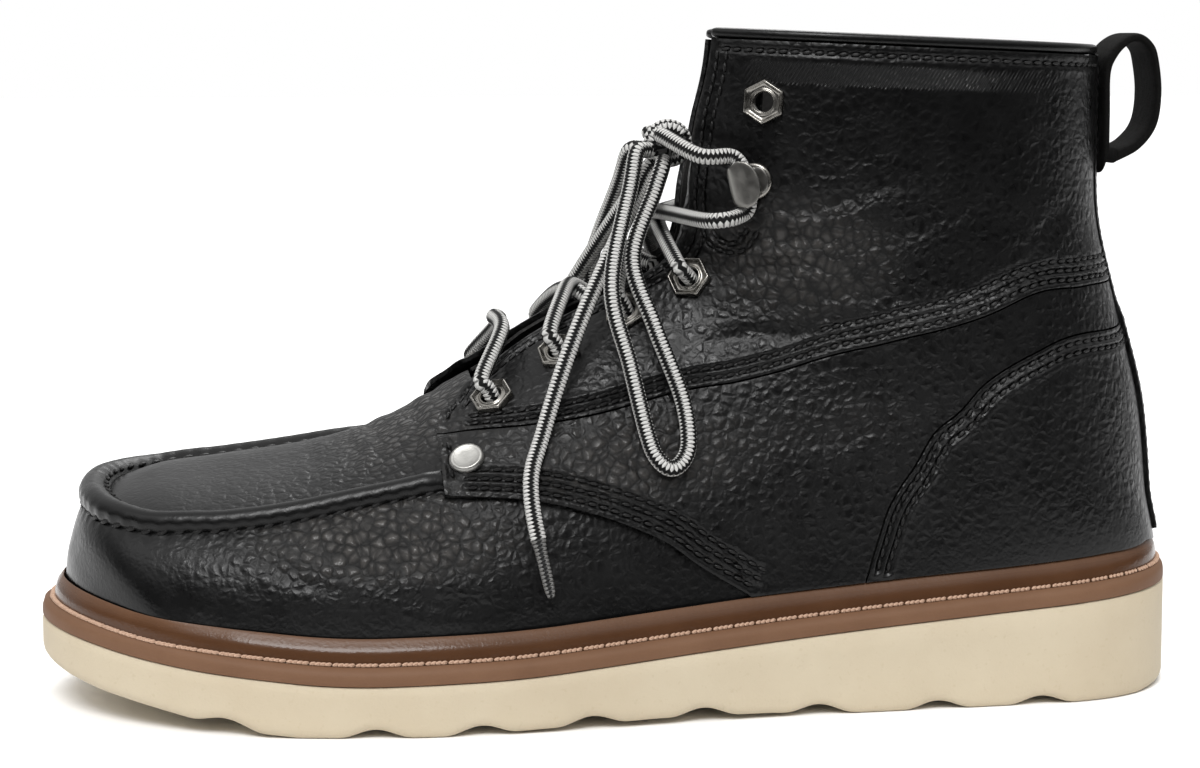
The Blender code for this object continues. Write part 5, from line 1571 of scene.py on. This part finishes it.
# %% Turning and setting a fitting
def turned(name, profile, look, around=48, long=1.0):
    """A fitting turned about its axis from rows of radius, height and how six-sided the ring is."""
    angle = np.linspace(0, 2 * math.pi, around + 1)
    flat = 1 / np.cos((angle + math.pi / 6) % (math.pi / 3) - math.pi / 6)
    rings = []
    for radius, height, six in profile:
        reach = radius * (1 + six * (flat - 1))
        high = np.full(around + 1, height)
        rings.append(np.stack([long * reach * np.cos(angle), reach * np.sin(angle), high], 1))
    piece = lay(name, np.array(rings), closed=True)
    piece.data.materials.append(look)
    return piece


def set_down(source, name, place, node, slot, spin=0.0):
    """A copy of a fitting, with its own mesh, on its seat and turned on it."""
    origin, along, aback, normal = place
    ahead = math.cos(spin) * along + math.sin(spin) * aback
    back = math.cos(spin) * aback - math.sin(spin) * along
    piece = bpy.data.objects.new(name, source.data.copy())
    bpy.context.scene.collection.objects.link(piece)
    local = np.array([vertex.co[:] for vertex in piece.data.vertices]) / MM - SHIFT
    world = origin + local[:, :1] * ahead + local[:, 1:2] * back + local[:, 2:] * normal
    piece.data.vertices.foreach_set("co", ((world + SHIFT) * MM).reshape(-1))
    piece.data.update()
    weld(piece)
    return settle(piece, source.data.materials[0], slot, node)


print("a corner of a six-sided ring reaches", round(1 / math.cos(math.pi / 6), 3), "times its radius")

# %% Eyelets, rivets and hook feet
# radius, height and how six-sided
EYELET_RING = (
    (5.1, -0.35, 1), (5.1, 0.8, 1), (5.02, 1.2, 1), (4.85, 1.45, 1), (4.66, 1.5, 1), (4.5, 1.38, 1),
    (4.3, 1.05, 0.95), (4.0, 0.78, 0.75), (3.65, 0.62, 0.35), (3.4, 0.72, 0.05), (3.2, 0.98, 0),
    (2.98, 1.08, 0), (2.78, 0.98, 0), (2.62, 0.62, 0), (2.56, -0.35, 0), (2.6, -1.6, 0), (2.9, -1.6, 0),
    (2.9, -0.35, 0), (5.1, -0.35, 1),
)
RIVET_DOME = (
    (0.0, 1.25, 0), (1.6, 1.3, 0), (2.7, 1.32, 0), (3.05, 1.42, 0), (3.35, 1.55, 0), (3.65, 1.5, 0),
    (3.95, 1.2, 0), (4.15, 0.75, 0), (4.2, 0.2, 0), (4.1, -0.3, 0), (0.0, -0.3, 0),
)
HOOK_FOOT = (
    (0.0, 0.8, 0), (3.9, 0.8, 0), (4.4, 0.7, 0), (4.7, 0.4, 0), (4.75, 0.0, 0), (4.7, -0.3, 0),
    (0.0, -0.3, 0),
)
EYELET_SPINS = (0, 8, 20, 12, 30)
ring = turned("eyelet_pattern", EYELET_RING, NICKEL)
dome = turned("rivet_pattern", RIVET_DOME, SILVER, 40, 1.1)
disc = turned("hook_foot_pattern", HOOK_FOOT, NICKEL, 40)
for side, word in SIDES:
    for number, place in enumerate(EYELET_SEATS[side], 1):
        spin = math.radians(EYELET_SPINS[number - 1])
        set_down(ring, f"eyelet_ring_{word}_{number}", place, f"eyelet_{word}_{number}", "nickel", spin)
    set_down(dome, f"rivet_dome_{word}", RIVET_SEATS[side], f"rivet_{word}", "nickel")
    set_down(disc, f"hook_foot_{word}", HOOK_SEATS[side], f"hook_{word}", "nickel")

# %% [markdown]
# A lace hook is one strip of steel: a foot on the leather, a neck by the throat, and a rounded plate that
# folds back over the lace. Extruding and bending a plate would do, but its width changes along it. So its
# line is drawn in the section across the throat, with a half width at each place, and both ends are round.

# %% Lace hooks
HOOK_LINE = np.array((
    (4.2, 1.2), (1.0, 1.2), (-2.6, 1.2), (-4.2, 1.7), (-4.75, 3.2), (-4.75, 4.9), (-4.2, 6.2), (-2.8, 6.75),
    (0.4, 6.9), (3.4, 6.6),
))
HOOK_HALF = np.array((0.5, 3.6, 3.4, 3.6, 4.0, 4.4, 4.9, 5.6, 6.0, 0.9))
HOOK_STEPS, HOOK_THICK, PLATE_HALF, TAIL_HALF = 70, 0.48, 6.0, 3.6
steps = np.linspace(0, len(HOOK_LINE) - 1, HOOK_STEPS)
line = np.column_stack([curve(HOOK_LINE, steps), np.zeros(HOOK_STEPS), curve(HOOK_HALF, steps)])
line = spread(line, HOOK_STEPS)
line[-14:, 3] = PLATE_HALF * np.sqrt(np.clip(1 - np.linspace(0.02, 0.99, 14) ** 2, 0, 1))
line[:9, 3] = TAIL_HALF * np.sqrt(np.clip(1 - np.linspace(0.985, 0.02, 9) ** 2, 0, 1))
ahead = unit(np.gradient(line[:, :2], axis=0))
thick_way = np.column_stack([-ahead[:, 1], ahead[:, 0]])
rings = []
for angle in np.linspace(0, 2 * math.pi, 29):
    flat = line[:, :2] + HOOK_THICK * boxy(np.sin(angle), 0.5) * thick_way
    rings.append(np.column_stack([line[:, 3] * boxy(np.cos(angle), 0.5), flat[:, 0], flat[:, 1]]))
strip = lay("hook_pattern", np.array(rings), closed=True)
strip.data.materials.append(STEEL)
for side, word in SIDES:
    set_down(strip, f"hook_strip_{word}", HOOK_SEATS[side], f"hook_{word}", "nickel")
for pattern in (ring, dome, disc, strip):
    bpy.data.objects.remove(pattern)

# %% [markdown]
# ## Lace
# The lace is a round braid of 4.3 mm. It comes up through each pair of eyelets, crosses over the tongue and
# goes under the other edge to the next pair; from the last pair it runs round the hooks to a bow. A curve
# with a bevel would be quicker, but its map would stretch. So each run is a tube along a smooth line, and
# its own map says how far round and along the braid a point is.

# %% Tubes of braid
LACE, TUBE_STEP, TUBE_AROUND = 4.3, 0.75, 14
# any direction that no run of the lace points in
ANY_WAY = (0.31, 0.62, 0.72)


def tube(name, route, radius=LACE / 2, look=BRAID, nodes=()):
    """A round cord along a smooth line; radius may be one number or one for each share of the way."""
    route = np.asarray(route, float)
    line = spread(curve(route, np.linspace(0, len(route) - 1, 40 * len(route))), step=TUBE_STEP)
    ahead = unit(np.gradient(line, axis=0))
    over = np.zeros_like(line)
    over[0] = unit(np.cross(ahead[0], ANY_WAY))
    for k in range(1, len(line)):
        over[k] = unit(over[k - 1] - ahead[k] * over[k - 1].dot(ahead[k]))
    beside = np.cross(ahead, over)
    shares = np.linspace(0, 1, np.size(radius))
    size = np.interp(np.linspace(0, 1, len(line)), shares, np.atleast_1d(radius))
    angle = np.linspace(0, 2 * math.pi, TUBE_AROUND + 1)
    ring = np.cos(angle)[:, None, None] * over + np.sin(angle)[:, None, None] * beside
    piece = lay(name, (line + ring * size[:, None]).transpose(1, 0, 2))
    corner = np.zeros(len(piece.data.loops), int)
    piece.data.loops.foreach_get("vertex_index", corner)
    along, about = np.divmod(corner, TUBE_AROUND + 1)
    way = np.column_stack([about / TUBE_AROUND, along * TUBE_STEP])
    piece.data.uv_layers[0].data.foreach_set("uv", way.reshape(-1).astype(np.float32))
    weld(piece)
    settle(piece, look, "lace", *nodes)
    return piece, line


def out_of(place, height, toward=0.0, along=0.0):
    """A place over a fitting's seat: outwards, towards the throat and along its edge."""
    origin, ahead, back, normal = place
    return origin + height * normal - toward * back + along * ahead


def through(place, rise=1.0):
    """Up through an eyelet and over its rim, less far where the rise is small."""
    steps = (-1.6, -0.3), (0.8, 0.0), (2.9 * rise, rise), (4.8 * rise, 3.2 * rise)
    return [out_of(place, *step) for step in steps]


def over_throat(first, second, part, side, lift):
    """A place part of the way from one eyelet to its neighbour across the throat."""
    (station, share), (next_station, next_share) = first, second
    share = share + (-next_share - share) * part
    return skin(station + (next_station - station) * part, side * share, lift)


print("lace is", LACE, "mm thick")

# %% [markdown]
# The first bar goes straight across at the front of the throat. Then come crossing runs, where the outer
# one lies over the inner one; each dips under the far edge of the throat, where it can't be seen.

# %% Lace across the throat
# share of the way across, and height over the last
BAR_LIFTS = (0.3, 7.6), (0.5, 8.0), (0.7, 5.2)
RUN_LIFTS = (0.3, 6.4), (0.5, 5.0), (0.62, 1.6)
UNDER_EDGE, BELOW = (0.68, -0.6), 1.6
crest = EYELET_SPOTS[0] + (0.42, 0.0)
bar = through(EYELET_SEATS[-1][0])
bar += [over_throat(crest, crest, part, -1, lift) for part, lift in BAR_LIFTS]
tube("lace_first_bar", bar + through(EYELET_SEATS[1][0], 0.7)[::-1], nodes=("lace_bar",))
for index in (1, 2):
    for side, word in SIDES:
        pair = EYELET_SPOTS[index], EYELET_SPOTS[index + 1]
        lower = BELOW if side > 0 else 0.0
        route = through(EYELET_SEATS[side][index])
        route += [over_throat(*pair, part, side, lift - lower) for part, lift in RUN_LIFTS]
        route.append(over_throat(*pair, UNDER_EDGE[0], side, UNDER_EDGE[1]))
        tube(f"lace_run_{index}_{word}", route, nodes=(f"lace_cross_{index}",))

# %% [markdown]
# From the last low eyelets the lace crosses to the hook on the other side, goes round under its plate and
# on to the knot. Tying a real knot would be a long route that hardly shows, so the knot is a cord wound
# round a short core, as it looks from outside.

# %% Runs round the hooks
KNOT, KNOT_RADII = np.array((14.5, -5.0, 146.5)), np.array((6.5, 8.5, 6.5))
KNOT_CLEAR, KNOT_RUN, INTO_KNOT = 0.8, 5.0, -4.0
CROSSING = np.array((11.0, 0.0, 127.0))
# height, towards the throat and along its edge, from the hook's seat
ROUND_HOOK = (
    (6.0, 10.5, -7.4), (0.0, 3.4, -7.4), (0.0, 1.0, -2.6), (0.0, 1.0, 2.6), (0.0, 3.4, 7.4), (3.5, 10.5, 9.5),
)


def knot_point(way, clear):
    """A point off the knot in a direction."""
    way = unit(np.array(way))
    return KNOT + way * (1 / np.linalg.norm(way / KNOT_RADII) + clear)


for side, word in SIDES:
    hook, middle = HOOK_SEATS[-side], 1.0 + GAP + LACE / 2
    route = through(EYELET_SEATS[side][3]) + [CROSSING + (-1.4 * side, 0, 0.9 * side)]
    route += [out_of(hook, middle + lift, toward, upward) for lift, toward, upward in ROUND_HOOK]
    enters = (-0.2, -0.85 * side, 0.15)
    route += [knot_point(enters, clear) for clear in (KNOT_RUN, KNOT_CLEAR, INTO_KNOT)]
    tube(f"lace_hook_run_{word}", route, nodes=("lace_cross_3",))

# %% Knot
WRAP_POINTS, WRAP_TURNS, WRAP_START, WRAP_REACH = 34, 2.4, 0.6, 0.62
CORE = (-2.0, -6.0, -1.5), (1.2, -2.4, 1.2), (1.4, 1.2, -0.6), (-1.6, 5.6, -1.2)
wrap = []
for k in range(WRAP_POINTS):
    share = k / (WRAP_POINTS - 1)
    turn = 2 * math.pi * WRAP_TURNS * share + WRAP_START
    slide = -WRAP_REACH + 2 * WRAP_REACH * share
    small = math.sqrt(1 - slide**2)
    wrap.append(KNOT + (KNOT_RADII - LACE / 2) * (small * math.cos(turn), slide, small * math.sin(turn)))
tube("lace_knot_wrap", wrap, nodes=("lace_knot",))
tube("lace_knot_core", [KNOT + np.array(step) for step in CORE], 2.6, nodes=("lace_knot",))

# %% [markdown]
# The bow's loops and free ends hang from the knot over the laced edge and down along the panels. A rope
# simulation could drop them, but they have to lie where the photograph shows them, so each follows a few
# places read from the side. They are free cords; each leaves the knot at a given place, and its length is
# printed. The free ends finish in short dark sleeves that keep the braid from fraying.

# %% Routes of the bow
# x and z in the side view, height over the panels
LOOP = (
    (8.5, 108.0, 13.0), (8.8, 95.6, 8.0), (13.6, 81.0, 3.0), (14.6, 70.6, 3.0), (13.0, 65.6, 3.0),
    (9.6, 63.4, 3.0), (6.2, 65.6, 3.0), (4.0, 71.0, 3.0), (1.0, 86.0, 7.0), (1.0, 100.0, 15.0),
)
FREE_END = ((-9.2, 92.8, 10.6), (-22.3, 71.4, 3.0), (-26.8, 57.5, 3.0), (-23.4, 33.5, 5.0))


def hang(rows, side):
    """A hanging cord's route, read from the side and laid off the panels of one side."""
    places = find([row[:2] for row in rows])
    return list(skin(places[:, 0], side * places[:, 1], PANEL_LIFT + np.array([row[2] for row in rows])))


def length_of(line):
    return float(np.linalg.norm(np.diff(line, axis=0), axis=1).sum()) * MM


print("a loop hangs down to", LOOP[5][1], "mm and an end to", FREE_END[-1][1], "mm")

# %% Bow
SLEEVE = 13.0
SLEEVE_RADII = (2.1, 1.8, 1.65, 1.6, 1.6, 1.6, 1.55, 1.5, 1.4, 0.9)
for side, word in SIDES:
    down, back = (-0.25, 0.8 * side, -0.5), (-0.8, 0.62 * side, -0.2)
    hanging, leaves, returns = hang(LOOP, side), knot_point(down, KNOT_RUN), knot_point(back, KNOT_RUN)
    route = [knot_point(down, KNOT_CLEAR), leaves, 0.75 * leaves + 0.25 * hanging[0], *hanging]
    route += [0.25 * hanging[-1] + 0.75 * returns, returns, knot_point(back, KNOT_CLEAR)]
    bow_loop, line = tube(f"bow_loop_{word}", route, nodes=(f"lace_loop_{word}",))
    print("loop", word, round(length_of(line), 3), "m")

    free = (-0.54, 0.28 * side, -0.75)
    route = [knot_point(free, clear) for clear in (KNOT_CLEAR, KNOT_RUN + 1)] + hang(FREE_END, side)
    whole = spread(curve(np.array(route), np.linspace(0, len(route) - 1, 300)), step=1.0)
    cut_at = len(whole) - int(SLEEVE)
    end, line = tube(f"bow_end_{word}", whole[:cut_at][::4], nodes=(f"lace_end_{word}",))
    tip = np.vstack([line[-1:], whole[cut_at + 2 :: 3], whole[-1:]])
    sleeve, _ = tube(f"end_sleeve_{word}", tip, SLEEVE_RADII, SLEEVE_LOOK)
    print("end", word, round(length_of(line) + SLEEVE * MM, 3), "m with its sleeve")

# %% [markdown]
# ## Floor and light
# The boot stands on a plain pale floor under soft studio light: a wide lamp above and in front, two weak
# boxes, a sky that is bright overhead and dim in front, as under a large ceiling panel, and pale paper
# behind. Black leather is drawn by what it reflects: the dim front keeps its walls black, and the paper
# lights the top of the toe. The floor ends a hand's width in front of the boot, so that its white does
# not fill the reflections in the walls. The ground itself shows white. A picture of a studio could light
# it too, but the scene reads no file.

# %% Floor
FLOOR_SIZE, FLOOR_FRONT = 8.0, 0.26
bpy.ops.object.select_all(action="DESELECT")
bpy.ops.mesh.primitive_plane_add(size=FLOOR_SIZE)
floor = bpy.context.object
floor.name = "pale_floor"
bpy.ops.object.mode_set(mode="EDIT")
bpy.ops.mesh.select_all(action="SELECT")
bpy.ops.transform.translate(value=(0, FLOOR_SIZE / 2 - FLOOR_FRONT, 0))
bpy.ops.object.mode_set(mode="OBJECT")
paint = Mixer("floor_paint").set(Base_Color=(0.97, 0.97, 0.97, 1), Roughness=0.95, Specular_IOR_Level=0.0)
floor.data.materials.append(paint)
print("floor ends", FLOOR_FRONT, "m in front of the boot")

# %% Surround
# from and to for the sky over height, and for the paper over depth
SKY = {"From Min": 0.1, "From Max": 0.85, "To Min": 0.05, "To Max": 1.0}
PAPER = {"From Min": 0.05, "From Max": 0.6, "To Min": 0.0, "To Max": 0.6}
world = bpy.context.scene.world or bpy.data.worlds.new("surround")
bpy.context.scene.world = world
world.use_nodes = True
nodes, join = world.node_tree.nodes, world.node_tree.links.new
way = nodes.new("ShaderNodeSeparateXYZ")
join(nodes.new("ShaderNodeTexCoord").outputs["Generated"], way.inputs[0])
both = nodes.new("ShaderNodeMath")
both.operation = "MAXIMUM"
for slot, (axis, kind, ends) in enumerate(((2, "SMOOTHSTEP", SKY), (1, "LINEAR", PAPER))):
    glow = nodes.new("ShaderNodeMapRange")
    glow.interpolation_type = kind
    for key, value in ends.items():
        glow.inputs[key].default_value = value
    join(way.outputs[axis], glow.inputs["Value"])
    join(glow.outputs[0], both.inputs[slot])
ground = nodes.new("ShaderNodeMix")
join(nodes.new("ShaderNodeLightPath").outputs["Is Camera Ray"], ground.inputs[0])
join(both.outputs[0], ground.inputs[2])
ground.inputs[3].default_value = 1.0
nodes["Background"].inputs["Color"].default_value = (1, 1, 1, 1)
join(ground.outputs[0], nodes["Background"].inputs["Strength"])
bpy.context.scene.view_settings.view_transform = "Standard"
print("surround has", len(nodes), "nodes")


# %% Lamps
def lamp(name, kind, place, aim_at, power, size):
    bpy.ops.object.light_add(type=kind, location=Vector(place))
    made = bpy.context.object
    made.name = name
    made.rotation_euler = (Vector(aim_at) - Vector(place)).to_track_quat("-Z", "Y").to_euler()
    made.data.energy = power
    if kind == "SUN":
        made.data.angle = math.radians(size)
    else:
        made.data.size = size
    print(name, power)


lamp("broad_front", "SUN", (-0.22, -0.85, 0.95), (0, 0, 0), 2.3, 27)
lamp("box_toe", "AREA", (-1.0, -0.3, 0.9), (0, 0, 0.07), 0.8, 0.5)
lamp("box_back", "AREA", (0.2, 0.8, 0.9), (0, 0, 0.1), 4.0, 0.5)
